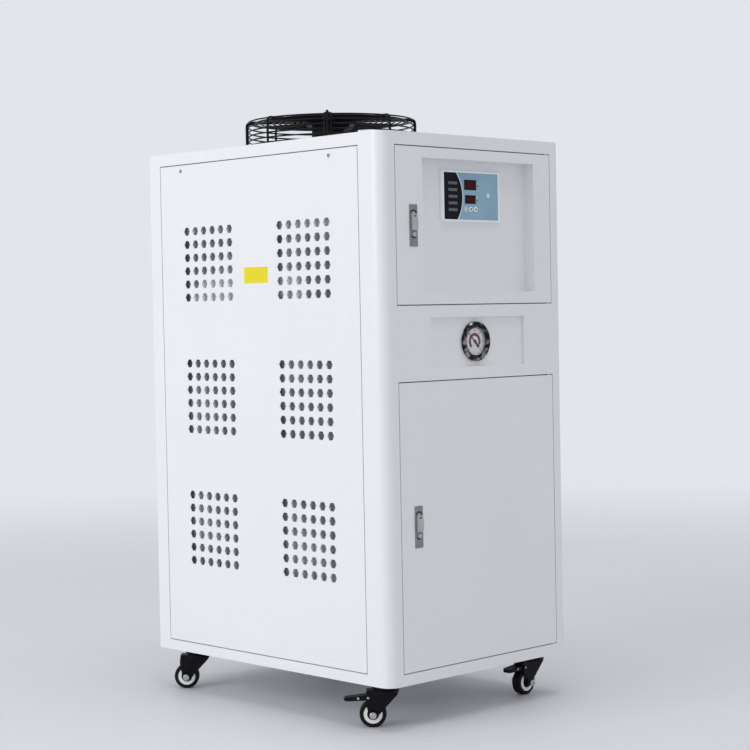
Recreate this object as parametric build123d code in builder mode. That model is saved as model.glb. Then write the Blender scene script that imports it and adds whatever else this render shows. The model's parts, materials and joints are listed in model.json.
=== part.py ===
"""Air-cooled water chiller: a sheet-metal cabinet on casters with a fan on its roof."""
from build123d import *
from math import atan2, cos, degrees, radians, sin, sqrt
import os

os.makedirs("parts", exist_ok=True)

# Cabinet. X runs across the front, the front looks along -Y, Z is up, Z = 0 is the floor.
WIDTH = 520
DEPTH = 706
HEIGHT = 1050
CASTER_HEIGHT = 86
SHEET = 1.5
FLOOR_PLATE = 2
CORNER = 26
REAR_CORNER = 4
SEAM = 2
PORT_REACH = 31.5
LOCK_REACH = 7
CUT = 1
SEAT_GAP = 0.3
RUNNING_FIT = 0.05

LEFT = -WIDTH / 2
MID_Y = (LOCK_REACH - PORT_REACH) / 2
FRONT, BACK = MID_Y - DEPTH / 2, MID_Y + DEPTH / 2
BASE, ROOF = CASTER_HEIGHT, CASTER_HEIGHT + HEIGHT
FLOOR = BASE + FLOOR_PLATE
CEILING = ROOF - SHEET

# Side panels and the edges that frame them
PANEL_FRONT_MARGIN = 62.5
PANEL_REAR_MARGIN = 40.3
PANEL_BOTTOM_MARGIN = 23
PANEL_TOP_MARGIN = 26
PAN = 15
LIP = 18
HOLE_PITCH = 27.5
HOLE_ACROSS_FLATS = 16.5
HOLES = 6
FIELD_SPACING_Y = 292.4
FIELD_SPACING_Z = 275
FIELD_ROWS = 3
FIELD_SHIFT = 1.7
FIELD_RAISE = 18
FILTER_THICK = 3
FILTER_TOP_GAP = 21
PANEL_SCREW_DROP = 12
PANEL_SCREW_FRONT = 78.5
PANEL_SCREW_REAR = 68.7

PANEL_FRONT = FRONT + PANEL_FRONT_MARGIN
PANEL_REAR = BACK - PANEL_REAR_MARGIN
PANEL_LOW = BASE + PANEL_BOTTOM_MARGIN
PANEL_HIGH = ROOF - PANEL_TOP_MARGIN
STRIP_FRONT, STRIP_REAR = PANEL_FRONT - SEAM, PANEL_REAR + SEAM
STRIP_LOW, STRIP_HIGH = PANEL_LOW - SEAM, PANEL_HIGH + SEAM
PANEL_SCREWS_Y = (PANEL_FRONT + PANEL_SCREW_FRONT, PANEL_REAR - PANEL_SCREW_REAR)
PANEL_SCREW_Z = PANEL_HIGH - PANEL_SCREW_DROP
LIP_FACE = WIDTH / 2 - PAN

# Screws with a pan head
SCREW = 4
SCREW_HEAD = 8
SCREW_HEAD_HIGH = 2
SCREW_HOLE_PLAY = 0.3

# Rear panel, laid on the outside of the rear frame
REAR_BORDER = 35
REAR_OVERLAP = 12
REAR_SCREWS = 4
REAR_SCREW_LONG = 8

# Doors, their openings and pins
DOOR_SIDE_MARGIN = 39
DOOR_TOP_MARGIN = 27
DOOR_BOTTOM_MARGIN = 24
UPPER_DOOR_HIGH = 300
MIDDLE_BAND = 148
DOOR_PAN = 20
STOP_LIP = 8
PIN = 4
PIN_FROM_EDGE = 7
PIN_FROM_FACE = 5
PIN_LONG = 8
PIN_COLLAR = 8
STOP_TO_PIN = 10

DOOR_X = WIDTH / 2 - DOOR_SIDE_MARGIN
OPENING_X = DOOR_X + SEAM
UPPER_HIGH = ROOF - DOOR_TOP_MARGIN
UPPER_LOW = UPPER_HIGH - UPPER_DOOR_HIGH
LOWER_HIGH = UPPER_LOW - MIDDLE_BAND
LOWER_LOW = BASE + DOOR_BOTTOM_MARGIN
PIN_X, PIN_Y = DOOR_X - PIN_FROM_EDGE, FRONT + PIN_FROM_FACE

# Pocket of the upper door and the temperature controller in it
POCKET_LEFT, POCKET_RIGHT = 72, 49
POCKET_BELOW, POCKET_ABOVE = 23, 20
POCKET_DEEP = 25
CONTROL_WIDE, CONTROL_HIGH = 168, 100
CONTROL_PROUD = 6
CONTROL_BODY_WIDE, CONTROL_BODY_HIGH = 156, 88
CONTROL_BODY_DEEP = 45
CONTROL_CORNER = 5
CONTROL_X = 8
CONTROL_DROP = 89
FACE_WIDE, FACE_HIGH = 155, 92
FACE_THICK = 1
FACE_SUNK = 0.5
WINDOW_PLAY = 1
DISPLAYS = ((5.5 - CONTROL_X, 22.5, 33, 17), (5.5 - CONTROL_X, -6, 29, 14))
BUTTON = 10
BUTTON_PROUD = 1.2
BUTTON_STEM = 6
BUTTON_TRAVEL = 1
BUTTON_PITCH = 13.5
BUTTON_ROW = -25

# Pressure gauge in the shallow recess between the doors
RECESS_WIDE, RECESS_HIGH = 268.5, 96.5
RECESS_X = 2.25
RECESS_DEEP = 6
GAUGE_X = -3
GAUGE = 78
GAUGE_WINDOW = 55
GAUGE_CASE = 66
GAUGE_CASE_DEEP = 36
GAUGE_FLANGE = 74
GAUGE_GLASS = 2
GAUGE_STEM = 2

# Door locks: plate, turning spindle with its cam, lifting lever, release button
LOCK_WIDE, LOCK_HIGH = 21, 80
LOCK_PLATE = 1.2
LOCK_X = -175.5
LOCK_BODY_WIDE, LOCK_BODY_HIGH = 17, 72
LOCK_BODY_DEEP = 14
SPINDLE = 10
SPINDLE_UP = 20
LEVER_THICK = 4
LEVER_WIDE = 14
LEVER_LONG = 29
LEVER_CROWN = 1.4
LUG = 6
LEVER_PIN = 2
CAM_WIDE, CAM_THICK = 18, 3
CAM_REACH = 46
RELEASE = 9.2
RELEASE_DOWN = 17
RELEASE_PROUD = 3
RELEASE_LONG = 12
RELEASE_TRAVEL = 2

# Fan, its guard and shroud
FAN_Y = 60.7
FAN_OPENING = 308
FAN_SHROUD_DEEP = 40
FAN_BLADES = 5
FAN = 300
GUARD = 351
GUARD_HIGH = 68
GUARD_WIRE = 3.2
GUARD_ROD = 6
GUARD_SINGLE_ROD = 5
GUARD_PAIR = 11
GUARD_BITE = 1.5
FOOT_WASHER, FOOT_WASHER_THICK = 12, 1
FOOT_PAST_SCREW = 6
GUARD_BEND = 9
SIDE_RINGS = 7
SIDE_PITCH = 10
TOP_RING_INNER, TOP_RING_PITCH, TOP_RINGS = 60, 12.5, 9
ARM_INNER = 38
MOTOR_FLANGE, MOTOR_FLANGE_THICK = 104, 6
MOTOR_CAN = 80
MOTOR_CAN_DEEP = 26
MOTOR_SHAFT = 12
ROTOR_DRUM = 96
ROTOR_DEEP = 56
BLADE_THICK = 2
TERMINAL = 16

CEN = (0, MID_Y + FAN_Y)
ROD_Z = ROOF + GUARD_HIGH - GUARD_ROD / 2

# Lead of the fan motor and the glands in the roof and the rear panel
LEAD = 5.5
LEAD_GAP = 0.8
LEAD_BEND, LEAD_FOOT_BEND, LEAD_ENTRY_BEND = 7, 12, 14
LEAD_OVER_ROOF = 15
GLAND_TAIL = 20
GLAND_X, GLAND_Y = -150, -165
GLAND = 15
GLAND_STEM = 17
GLAND_LONG = 32
GLAND_AXIS = 17

# Inside
RAIL_THICK, RAIL_WIDE, RAIL_HIGH = 1.5, 38, 30
CONDENSER_WIDE, CONDENSER_HIGH = 450, 60
CONDENSER_FRONT, CONDENSER_REAR = -170, 300
CONDENSER_DROP = 145
SHELF_RAISE = 10
SHELF_FRONT_GAP, SHELF_DEEP = 24, 143
MOUNT_PLATE_X = 200
MOUNT_PLATE_HIGH = 440
TANK_WIDE, TANK_LONG, TANK_HIGH = 400, 270, 380
TANK_FRONT = 50
TANK_CORNER = 30
COMPRESSOR = 170
COMPRESSOR_HIGH = 290
COMPRESSOR_X, COMPRESSOR_Y = -110, -150
PUMP = 120
PUMP_X = 120
PUMP_AXIS = 78
PUMP_FRONT, PUMP_REAR = -250, -50
PIPE = 10
WATER_PIPE = 26
DRIER = 40

# Water fittings and mains gland at the back
PORT_BORE = 15.15
PORT = 42
PORT_FLANGE, PORT_FLANGE_THICK = 58, 3
PORT_BORE_DEEP = 25
OUTLET_X, OUTLET_Z = 120, 430
INLET_X, INLET_Z = 40, 520
DRAIN_X, DRAIN_Z = -120, 60
MAINS_X, MAINS_Z = -150, 620

# Casters
CASTER_X = 212
CASTER_FRONT, CASTER_REAR = 63, 70
TRAIL = 24
WHEEL = 52
WHEEL_WIDE = 20.5
WHEEL_GAP = 0.8
AXLE = 8
CHEEK = 2.5
CROWN_LOW, CROWN_THICK = 68, 4
RACE_LOW = 76
CASTER_PLATE = 3
KINGPIN = 10
PEDAL_X, PEDAL_Z = 33, 58
PEDAL_REACH = 80
PEDAL_PIN = 5

CASTERS = (
    ("front_left", -CASTER_X, FRONT + CASTER_FRONT, 135.9),
    ("front_right", CASTER_X, FRONT + CASTER_FRONT, 180),
    ("rear_left", -CASTER_X, BACK - CASTER_REAR, 135.9),
    ("rear_right", CASTER_X, BACK - CASTER_REAR, 150),
)


def block(xs, ys, zs, mode=Mode.ADD):
    """Rectangular block between two values along each axis."""
    with Locations(((xs[0] + xs[1]) / 2, (ys[0] + ys[1]) / 2, (zs[0] + zs[1]) / 2)):
        Box(abs(xs[1] - xs[0]), abs(ys[1] - ys[0]), abs(zs[1] - zs[0]), mode=mode)


def rod_y(x, z, y_from, y_to, radius, mode=Mode.ADD):
    """Round rod along Y."""
    with Locations(Location((x, (y_from + y_to) / 2, z), (90, 0, 0))):
        Cylinder(radius, abs(y_to - y_from), mode=mode)


def rod_z(x, y, z_from, z_to, radius, mode=Mode.ADD):
    """Round rod along Z."""
    with Locations((x, y, (z_from + z_to) / 2)):
        Cylinder(radius, abs(z_to - z_from), mode=mode)


def rod_x(y, z, x_from, x_to, radius, mode=Mode.ADD):
    """Round rod along X."""
    with Locations(Location(((x_from + x_to) / 2, y, z), (0, 90, 0))):
        Cylinder(radius, abs(x_to - x_from), mode=mode)


def tube(points, radii, diameter):
    """Pipe along straight runs joined by arcs."""
    with BuildPart() as pipe:
        with BuildLine() as route:
            FilletPolyline(*points, radius=radii)
        with BuildSketch(Plane(origin=route.line @ 0, z_dir=route.line % 0)):
            Circle(diameter / 2)
        sweep(path=route.line)
    return pipe.part


# Plan of the cabinet wall, rounded at the front
with BuildSketch() as outline:
    with Locations((0, MID_Y)):
        Rectangle(WIDTH, DEPTH)
    fillet(outline.vertices().group_by(Axis.Y)[0], CORNER)
    fillet(outline.vertices().group_by(Axis.Y)[-1], REAR_CORNER)

with BuildSketch() as wall:
    add(outline.sketch)
    offset(amount=-SHEET, mode=Mode.SUBTRACT)


def wall_between(near, far):
    """Stretch of the wall's plan between two distances along Y."""
    with BuildSketch() as stretch:
        add(wall.sketch)
        with Locations((0, (near + far) / 2)):
            Rectangle(WIDTH + CUT, far - near, mode=Mode.INTERSECT)
    return stretch.sketch


def upright_edges(edge, inward):
    """Flange and lip along the upright edges of a side opening, on both sides."""
    lip_end = edge + inward * LIP
    for side in (-1, 1):
        flange_x = (side * (WIDTH / 2 - SHEET), side * LIP_FACE)
        lip_x = (side * LIP_FACE, side * (LIP_FACE - SHEET))
        block(flange_x, (edge - inward * SHEET, edge), (FLOOR, CEILING))
        block(lip_x, (edge - inward * SHEET, lip_end), (FLOOR, CEILING))


def level_edges(edge, inward):
    """Flange and lip along the level edges of a side opening, on both sides."""
    for side in (-1, 1):
        flange_x = (side * (WIDTH / 2 - SHEET), side * LIP_FACE)
        lip_x = (side * LIP_FACE, side * (LIP_FACE - SHEET))
        block(flange_x, (STRIP_FRONT, STRIP_REAR), (edge - inward * SHEET, edge))
        lip_y = (STRIP_FRONT + LIP, STRIP_REAR - LIP)
        block(lip_x, lip_y, (edge - inward * SHEET, edge + inward * LIP))


# Front frame: rounded front sheet, door openings with jambs and stops, gauge recess
DOOR_SPANS = ((LOWER_LOW - SEAM, LOWER_HIGH + SEAM), (UPPER_LOW - SEAM, UPPER_HIGH + SEAM))
GAUGE_Z = (LOWER_HIGH + UPPER_LOW) / 2
RECESS_XS = (RECESS_X - RECESS_WIDE / 2, RECESS_X + RECESS_WIDE / 2)
RECESS_ZS = (GAUGE_Z - RECESS_HIGH / 2, GAUGE_Z + RECESS_HIGH / 2)
RECESS_BACK = FRONT + RECESS_DEEP
STOP_END = PIN_X - STOP_TO_PIN

with BuildPart() as front_frame:
    with BuildSketch(Plane.XY.offset(FLOOR)):
        add(wall_between(FRONT - CUT, STRIP_FRONT))
    extrude(amount=CEILING - FLOOR)
    upright_edges(STRIP_FRONT, 1)
    for low, high in DOOR_SPANS:
        jamb_x = OPENING_X + SHEET
        jamb_end = FRONT + DOOR_PAN + SHEET
        block((-jamb_x, jamb_x), (FRONT + SHEET, jamb_end), (low - SHEET, high + SHEET))
        block((-OPENING_X, OPENING_X), (FRONT - CUT, FRONT + DOOR_PAN), (low, high), Mode.SUBTRACT)
        block((STOP_END, OPENING_X), (FRONT, jamb_end), (low, high), Mode.SUBTRACT)
        stop_x = (-OPENING_X + STOP_LIP, STOP_END + CUT)
        stop_z = (low + STOP_LIP, high - STOP_LIP)
        block(stop_x, (FRONT, jamb_end), stop_z, Mode.SUBTRACT)
        for edge in (low, high):
            reach = (edge - SHEET - CUT, edge + SHEET + CUT)
            rod_z(PIN_X, PIN_Y, *reach, PIN / 2 + RUNNING_FIT, Mode.SUBTRACT)
    recess_outer_x = (RECESS_XS[0] - SHEET, RECESS_XS[1] + SHEET)
    recess_outer_z = (RECESS_ZS[0] - SHEET, RECESS_ZS[1] + SHEET)
    block(recess_outer_x, (FRONT, RECESS_BACK + SHEET), recess_outer_z)
    block(RECESS_XS, (FRONT - CUT, RECESS_BACK), RECESS_ZS, Mode.SUBTRACT)
    case_hole = GAUGE_CASE / 2 + SEAT_GAP
    rod_y(GAUGE_X, GAUGE_Z, RECESS_BACK - CUT, RECESS_BACK + SHEET + CUT, case_hole, Mode.SUBTRACT)
front_frame.part.label = "front_frame"
export_step(front_frame.part, "parts/front_frame.step")

# Rear frame: wrap behind the side panels with the service opening
REAR_OPENING_X = WIDTH / 2 - REAR_BORDER
REAR_OPENING_Z = (BASE + REAR_BORDER, ROOF - REAR_BORDER)
REAR_SCREW_X = REAR_OPENING_X + REAR_OVERLAP / 2
REAR_SCREW_PITCH = (REAR_OPENING_Z[1] - REAR_OPENING_Z[0]) / (REAR_SCREWS - 1)
REAR_SCREW_SPOTS = [
    (side * REAR_SCREW_X, REAR_OPENING_Z[0] + row * REAR_SCREW_PITCH)
    for side in (-1, 1)
    for row in range(REAR_SCREWS)
]
SCREW_HOLE = SCREW / 2 + SCREW_HOLE_PLAY

with BuildPart() as rear_frame:
    with BuildSketch(Plane.XY.offset(FLOOR)):
        add(wall_between(STRIP_REAR, BACK + CUT))
    extrude(amount=CEILING - FLOOR)
    upright_edges(STRIP_REAR, -1)
    opening_x = (-REAR_OPENING_X, REAR_OPENING_X)
    block(opening_x, (BACK - SHEET - CUT, BACK + CUT), REAR_OPENING_Z, Mode.SUBTRACT)
    for x, z in REAR_SCREW_SPOTS:
        rod_y(x, z, BACK - SHEET - CUT, BACK + CUT, SCREW_HOLE, Mode.SUBTRACT)
rear_frame.part.label = "rear_frame"
export_step(rear_frame.part, "parts/rear_frame.step")

# Rear panel with the holes for the water fittings and the mains gland
REAR_FACE = BACK + SHEET
PORT_SPOTS = ((OUTLET_X, BASE + OUTLET_Z), (INLET_X, BASE + INLET_Z), (DRAIN_X, BASE + DRAIN_Z))
MAINS_SPOT = (MAINS_X, BASE + MAINS_Z)

with BuildPart() as rear_panel:
    panel_x = REAR_OPENING_X + REAR_OVERLAP
    panel_z = (REAR_OPENING_Z[0] - REAR_OVERLAP, REAR_OPENING_Z[1] + REAR_OVERLAP)
    block((-panel_x, panel_x), (BACK, REAR_FACE), panel_z)
    for x, z in REAR_SCREW_SPOTS:
        rod_y(x, z, BACK - CUT, REAR_FACE + CUT, SCREW_HOLE, Mode.SUBTRACT)
    for x, z in PORT_SPOTS:
        rod_y(x, z, BACK - CUT, REAR_FACE + CUT, PORT / 2 + SEAT_GAP, Mode.SUBTRACT)
    gland_hole = GLAND_STEM / 2 + SEAT_GAP
    rod_y(*MAINS_SPOT, BACK - CUT, REAR_FACE + CUT, gland_hole, Mode.SUBTRACT)
rear_panel.part.label = "rear_panel"
export_step(rear_panel.part, "parts/rear_panel.step")

# Top cover: roof plate with the fan opening and a skirt above each side panel
GLAND_SPOT = (GLAND_X, MID_Y + GLAND_Y)
FOOT_SCREW_R = GUARD / 2 + GUARD_ROD + FOOT_WASHER / 2
FOOT_ANGLES = (45, 135, 225, 315)
FOOT_SPOTS = [
    (CEN[0] + FOOT_SCREW_R * cos(radians(angle)), CEN[1] + FOOT_SCREW_R * sin(radians(angle)))
    for angle in FOOT_ANGLES
]

with BuildPart() as top_cover:
    with BuildSketch(Plane.XY.offset(CEILING)):
        add(outline.sketch)
    extrude(amount=SHEET)
    with BuildSketch(Plane.XY.offset(STRIP_HIGH)):
        add(wall_between(STRIP_FRONT, STRIP_REAR))
    extrude(amount=CEILING - STRIP_HIGH)
    level_edges(STRIP_HIGH, -1)
    rod_z(*CEN, CEILING - CUT, ROOF + CUT, FAN_OPENING / 2, Mode.SUBTRACT)
    rod_z(*GLAND_SPOT, CEILING - CUT, ROOF + CUT, GLAND_STEM / 2 + SEAT_GAP, Mode.SUBTRACT)
    for x, y in FOOT_SPOTS:
        rod_z(x, y, CEILING - CUT, ROOF + CUT, SCREW_HOLE, Mode.SUBTRACT)
    for side in (-1, 1):
        for y in PANEL_SCREWS_Y:
            span = (side * (LIP_FACE + CUT), side * (LIP_FACE - SHEET - CUT))
            rod_x(y, PANEL_SCREW_Z, *span, SCREW_HOLE, Mode.SUBTRACT)
top_cover.part.label = "top_cover"
export_step(top_cover.part, "parts/top_cover.step")

# Base tray: floor plate with an upstand below each side panel
with BuildPart() as base_tray:
    with BuildSketch(Plane.XY.offset(BASE)):
        add(outline.sketch)
    extrude(amount=FLOOR_PLATE)
    with BuildSketch(Plane.XY.offset(FLOOR)):
        add(wall_between(STRIP_FRONT, STRIP_REAR))
    extrude(amount=STRIP_LOW - FLOOR)
    level_edges(STRIP_LOW, 1)
base_tray.part.label = "base_tray"
export_step(base_tray.part, "parts/base_tray.step")

# Side panels: shallow pans with six fields of hexagonal holes
PANEL_MID_Y = (PANEL_FRONT + PANEL_REAR) / 2
PANEL_MID_Z = (PANEL_LOW + PANEL_HIGH) / 2

with BuildPart() as left_panel:
    block((LEFT, LEFT + PAN), (PANEL_FRONT, PANEL_REAR), (PANEL_LOW, PANEL_HIGH))
    offset(amount=-SHEET, openings=left_panel.faces().sort_by(Axis.X)[-1], kind=Kind.INTERSECTION)
    field_plane = Plane.YZ.offset(LEFT - CUT)
    with BuildSketch(field_plane):
        with Locations((PANEL_MID_Y + FIELD_SHIFT, PANEL_MID_Z + FIELD_RAISE)):
            with GridLocations(FIELD_SPACING_Y, FIELD_SPACING_Z, 2, FIELD_ROWS):
                with GridLocations(HOLE_PITCH, HOLE_PITCH, HOLES, HOLES):
                    RegularPolygon(HOLE_ACROSS_FLATS / 2, 6, major_radius=False)
        with Locations([(y, PANEL_SCREW_Z) for y in PANEL_SCREWS_Y]):
            Circle(SCREW_HOLE)
    extrude(amount=SHEET + 2 * CUT, mode=Mode.SUBTRACT)
left_panel.part.label = "left_panel"
export_step(left_panel.part, "parts/left_panel.step")

with BuildPart() as right_panel:
    mirror(left_panel.part, about=Plane.YZ)
right_panel.part.label = "right_panel"
export_step(right_panel.part, "parts/right_panel.step")

# Dust filters, held between each side panel and the lips behind it
with BuildPart() as dust_filters:
    for side in (-1, 1):
        filter_x = (side * (LIP_FACE + FILTER_THICK), side * LIP_FACE)
        filter_y = (PANEL_FRONT + SHEET + SEAT_GAP, PANEL_REAR - SHEET - SEAT_GAP)
        filter_z = (PANEL_LOW + SHEET + SEAT_GAP, PANEL_HIGH - FILTER_TOP_GAP)
        block(filter_x, filter_y, filter_z)
dust_filters.part.label = "dust_filters"
export_step(dust_filters.part, "parts/dust_filters.step")


def screw(location, length):
    """Pan head screw, its head standing up from the given place."""
    with BuildPart() as piece:
        with BuildSketch(Plane.XZ):
            with BuildLine():
                Polyline(
                    (0, -length),
                    (SCREW / 2, -length),
                    (SCREW / 2, 0),
                    (SCREW_HEAD / 2, 0),
                    (SCREW_HEAD / 2, SCREW_HEAD_HIGH / 3),
                    (SCREW_HEAD / 3, SCREW_HEAD_HIGH),
                    (0, SCREW_HEAD_HIGH),
                    close=True,
                )
            make_face()
        revolve(axis=Axis.Z)
    return piece.part.moved(location)


# Screws of the side panels and the rear panel
with BuildPart() as panel_screws:
    for side in (-1, 1):
        for y in PANEL_SCREWS_Y:
            place = Location((side * WIDTH / 2, y, PANEL_SCREW_Z), (0, side * 90, 0))
            add(screw(place, PAN + SHEET + CUT))
    for x, z in REAR_SCREW_SPOTS:
        add(screw(Location((x, REAR_FACE, z), (-90, 0, 0)), REAR_SCREW_LONG))
panel_screws.part.label = "panel_screws"
export_step(panel_screws.part, "parts/panel_screws.step")


def door_pan(low, high):
    """Door sheet with a return on all four sides, its pin holes and its lock cut-out."""
    lock_z = (low + high) / 2
    with BuildPart() as pan:
        block((-DOOR_X, DOOR_X), (FRONT, FRONT + DOOR_PAN), (low, high))
        offset(amount=-SHEET, openings=pan.faces().sort_by(Axis.Y)[-1], kind=Kind.INTERSECTION)
        for edge in (low, high):
            reach = (edge - SHEET - CUT, edge + SHEET + CUT)
            rod_z(PIN_X, PIN_Y, *reach, PIN / 2 + RUNNING_FIT, Mode.SUBTRACT)
        hole_x = LOCK_BODY_WIDE / 2 + SEAT_GAP
        hole_z = LOCK_BODY_HIGH / 2 + SEAT_GAP
        hole_xs = (LOCK_X - hole_x, LOCK_X + hole_x)
        hole_zs = (lock_z - hole_z, lock_z + hole_z)
        block(hole_xs, (FRONT - CUT, FRONT + SHEET + CUT), hole_zs, Mode.SUBTRACT)
    return pan.part


# Upper door with the pocket for the controller
POCKET_XS = (-DOOR_X + POCKET_LEFT, DOOR_X - POCKET_RIGHT)
POCKET_ZS = (UPPER_LOW + POCKET_BELOW, UPPER_HIGH - POCKET_ABOVE)
POCKET_BACK = FRONT + POCKET_DEEP
CONTROL_Z = UPPER_HIGH - CONTROL_DROP

with BuildPart() as upper_door:
    add(door_pan(UPPER_LOW, UPPER_HIGH))
    pocket_outer_x = (POCKET_XS[0] - SHEET, POCKET_XS[1] + SHEET)
    pocket_outer_z = (POCKET_ZS[0] - SHEET, POCKET_ZS[1] + SHEET)
    block(pocket_outer_x, (FRONT, POCKET_BACK + SHEET), pocket_outer_z)
    block(POCKET_XS, (FRONT - CUT, POCKET_BACK), POCKET_ZS, Mode.SUBTRACT)
    window_x = CONTROL_BODY_WIDE / 2 + SEAT_GAP
    window_z = CONTROL_BODY_HIGH / 2 + SEAT_GAP
    window_xs = (CONTROL_X - window_x, CONTROL_X + window_x)
    window_zs = (CONTROL_Z - window_z, CONTROL_Z + window_z)
    block(window_xs, (POCKET_BACK - CUT, POCKET_BACK + SHEET + CUT), window_zs, Mode.SUBTRACT)
upper_door.part.label = "upper_door"
export_step(upper_door.part, "parts/upper_door.step")

with BuildPart() as lower_door:
    add(door_pan(LOWER_LOW, LOWER_HIGH))
lower_door.part.label = "lower_door"
export_step(lower_door.part, "parts/lower_door.step")

# Hinge pins: a collar in the seam, one end in the jamb and the other in the door
with BuildPart() as hinge_pins:
    for low, high in DOOR_SPANS:
        for edge, inward in ((low, 1), (high, -1)):
            rod_z(PIN_X, PIN_Y, edge - inward * PIN_LONG / 2, edge + inward * PIN_LONG, PIN / 2)
            rod_z(PIN_X, PIN_Y, edge, edge + inward * (SEAM - SEAT_GAP), PIN_COLLAR / 2)
hinge_pins.part.label = "hinge_pins"
export_step(hinge_pins.part, "parts/hinge_pins.step")

# Temperature controller: housing with its bezel, face, displays and three buttons
CONTROL_FRONT = POCKET_BACK - CONTROL_PROUD
FACE_FRONT = CONTROL_FRONT + FACE_SUNK
FACE_BACK = FACE_FRONT + FACE_THICK
CAP_BACK = FACE_BACK + 1.5
CAP_ROOM = CAP_BACK + BUTTON_TRAVEL + CUT
STEM_BACK = CAP_BACK + 6
STEM_ROOM = STEM_BACK + BUTTON_TRAVEL + CUT
BUTTONS = (
    ("set_button", 6.5 - BUTTON_PITCH),
    ("down_button", 6.5),
    ("up_button", 6.5 + BUTTON_PITCH),
)
BUTTON_Z = CONTROL_Z + BUTTON_ROW

with BuildPart() as controller_housing:
    with BuildSketch(Plane.XZ.offset(-POCKET_BACK)):
        with Locations((CONTROL_X, CONTROL_Z)):
            RectangleRounded(CONTROL_WIDE, CONTROL_HIGH, CONTROL_CORNER)
    extrude(amount=CONTROL_PROUD)
    chamfer(controller_housing.faces().sort_by(Axis.Y)[0].edges(), CONTROL_PROUD / 4)
    body_x = (CONTROL_X - CONTROL_BODY_WIDE / 2, CONTROL_X + CONTROL_BODY_WIDE / 2)
    body_z = (CONTROL_Z - CONTROL_BODY_HIGH / 2, CONTROL_Z + CONTROL_BODY_HIGH / 2)
    block(body_x, (POCKET_BACK, POCKET_BACK + CONTROL_BODY_DEEP), body_z)
    face_x = (CONTROL_X - FACE_WIDE / 2, CONTROL_X + FACE_WIDE / 2)
    face_z = (CONTROL_Z - FACE_HIGH / 2, CONTROL_Z + FACE_HIGH / 2)
    block(face_x, (CONTROL_FRONT - CUT, FACE_BACK), face_z, Mode.SUBTRACT)
    for name, x in BUTTONS:
        cap_room = BUTTON / 2 + SEAT_GAP
        stem_room = BUTTON_STEM / 2 + RUNNING_FIT
        rod_y(x, BUTTON_Z, FACE_BACK - CUT, CAP_ROOM, cap_room, Mode.SUBTRACT)
        rod_y(x, BUTTON_Z, CAP_ROOM - CUT, STEM_ROOM, stem_room, Mode.SUBTRACT)
controller_housing.part.label = "controller_housing"
export_step(controller_housing.part, "parts/controller_housing.step")

with BuildPart() as controller_face:
    block(face_x, (FACE_FRONT, FACE_BACK), face_z)
    for name, x in BUTTONS:
        rod_y(x, BUTTON_Z, FACE_FRONT - CUT, FACE_BACK + CUT, BUTTON / 2 + SEAT_GAP, Mode.SUBTRACT)
    for x, z, wide, high in DISPLAYS:
        display_x = (CONTROL_X + x - wide / 2, CONTROL_X + x + wide / 2)
        display_z = (CONTROL_Z + z - high / 2, CONTROL_Z + z + high / 2)
        block(display_x, (FACE_FRONT - CUT, FACE_BACK + CUT), display_z, Mode.SUBTRACT)
controller_face.part.label = "controller_face"
export_step(controller_face.part, "parts/controller_face.step")

with BuildPart() as display_windows:
    for x, z, wide, high in DISPLAYS:
        display_x = (CONTROL_X + x - wide / 2, CONTROL_X + x + wide / 2)
        display_z = (CONTROL_Z + z - high / 2, CONTROL_Z + z + high / 2)
        block(display_x, (FACE_FRONT + FACE_THICK / 4, FACE_BACK), display_z)
display_windows.part.label = "display_windows"
export_step(display_windows.part, "parts/display_windows.step")

for name, x in BUTTONS:
    with BuildPart() as button:
        rod_y(x, BUTTON_Z, FACE_FRONT - BUTTON_PROUD, CAP_BACK, BUTTON / 2)
        chamfer(button.faces().sort_by(Axis.Y)[0].edges(), BUTTON_PROUD / 2)
        rod_y(x, BUTTON_Z, CAP_BACK, STEM_BACK, BUTTON_STEM / 2)
    button.part.label = name
    export_step(button.part, f"parts/{name}.step")


def turned(points):
    """Turned piece about the gauge's axis: each point is a radius and a distance along Y."""
    with BuildPart() as piece:
        with BuildSketch(Plane.XY):
            with BuildLine():
                Polyline(*points, close=True)
            make_face()
        revolve(axis=Axis.Y)
    return piece.part.moved(Location((GAUGE_X, 0, GAUGE_Z)))


# Pressure gauge: case, bezel ring, dial, needle and glass
GAUGE_FRONT = FRONT - 1
GLASS_BACK = RECESS_BACK - 2
GLASS_FRONT = GLASS_BACK - GAUGE_GLASS
DIAL_FLOOR = RECESS_BACK + 2
DIAL_THICK = 0.6
CASE_BACK = RECESS_BACK + GAUGE_CASE_DEEP
STEM_END = RECESS_BACK + 12
DIAL_R = GAUGE_CASE / 2 - 2

with BuildPart() as gauge_case:
    add(turned((
        (0, CASE_BACK),
        (GAUGE_CASE / 2, CASE_BACK),
        (GAUGE_CASE / 2, RECESS_BACK),
        (GAUGE_FLANGE / 2, RECESS_BACK),
        (GAUGE_FLANGE / 2, GLASS_BACK),
        (DIAL_R, GLASS_BACK),
        (DIAL_R, DIAL_FLOOR),
        (GAUGE_STEM / 2 + RUNNING_FIT, DIAL_FLOOR),
        (GAUGE_STEM / 2 + RUNNING_FIT, STEM_END),
        (0, STEM_END),
    )))
    rod_y(GAUGE_X, GAUGE_Z, CASE_BACK, CASE_BACK + 12, PIPE)
gauge_case.part.label = "gauge_case"
export_step(gauge_case.part, "parts/gauge_case.step")

with BuildPart() as gauge_bezel:
    add(turned((
        (GAUGE / 2 - 2, GAUGE_FRONT),
        (GAUGE / 2, GAUGE_FRONT + 2),
        (GAUGE / 2, RECESS_BACK),
        (GAUGE_FLANGE / 2, RECESS_BACK),
        (GAUGE_FLANGE / 2, GLASS_FRONT),
        (GAUGE_WINDOW / 2, GLASS_FRONT),
        (GAUGE_WINDOW / 2 + 1, GLASS_FRONT - 0.6),
        (GAUGE_WINDOW / 2 + 5, GAUGE_FRONT),
    )))
gauge_bezel.part.label = "gauge_bezel"
export_step(gauge_bezel.part, "parts/gauge_bezel.step")

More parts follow.
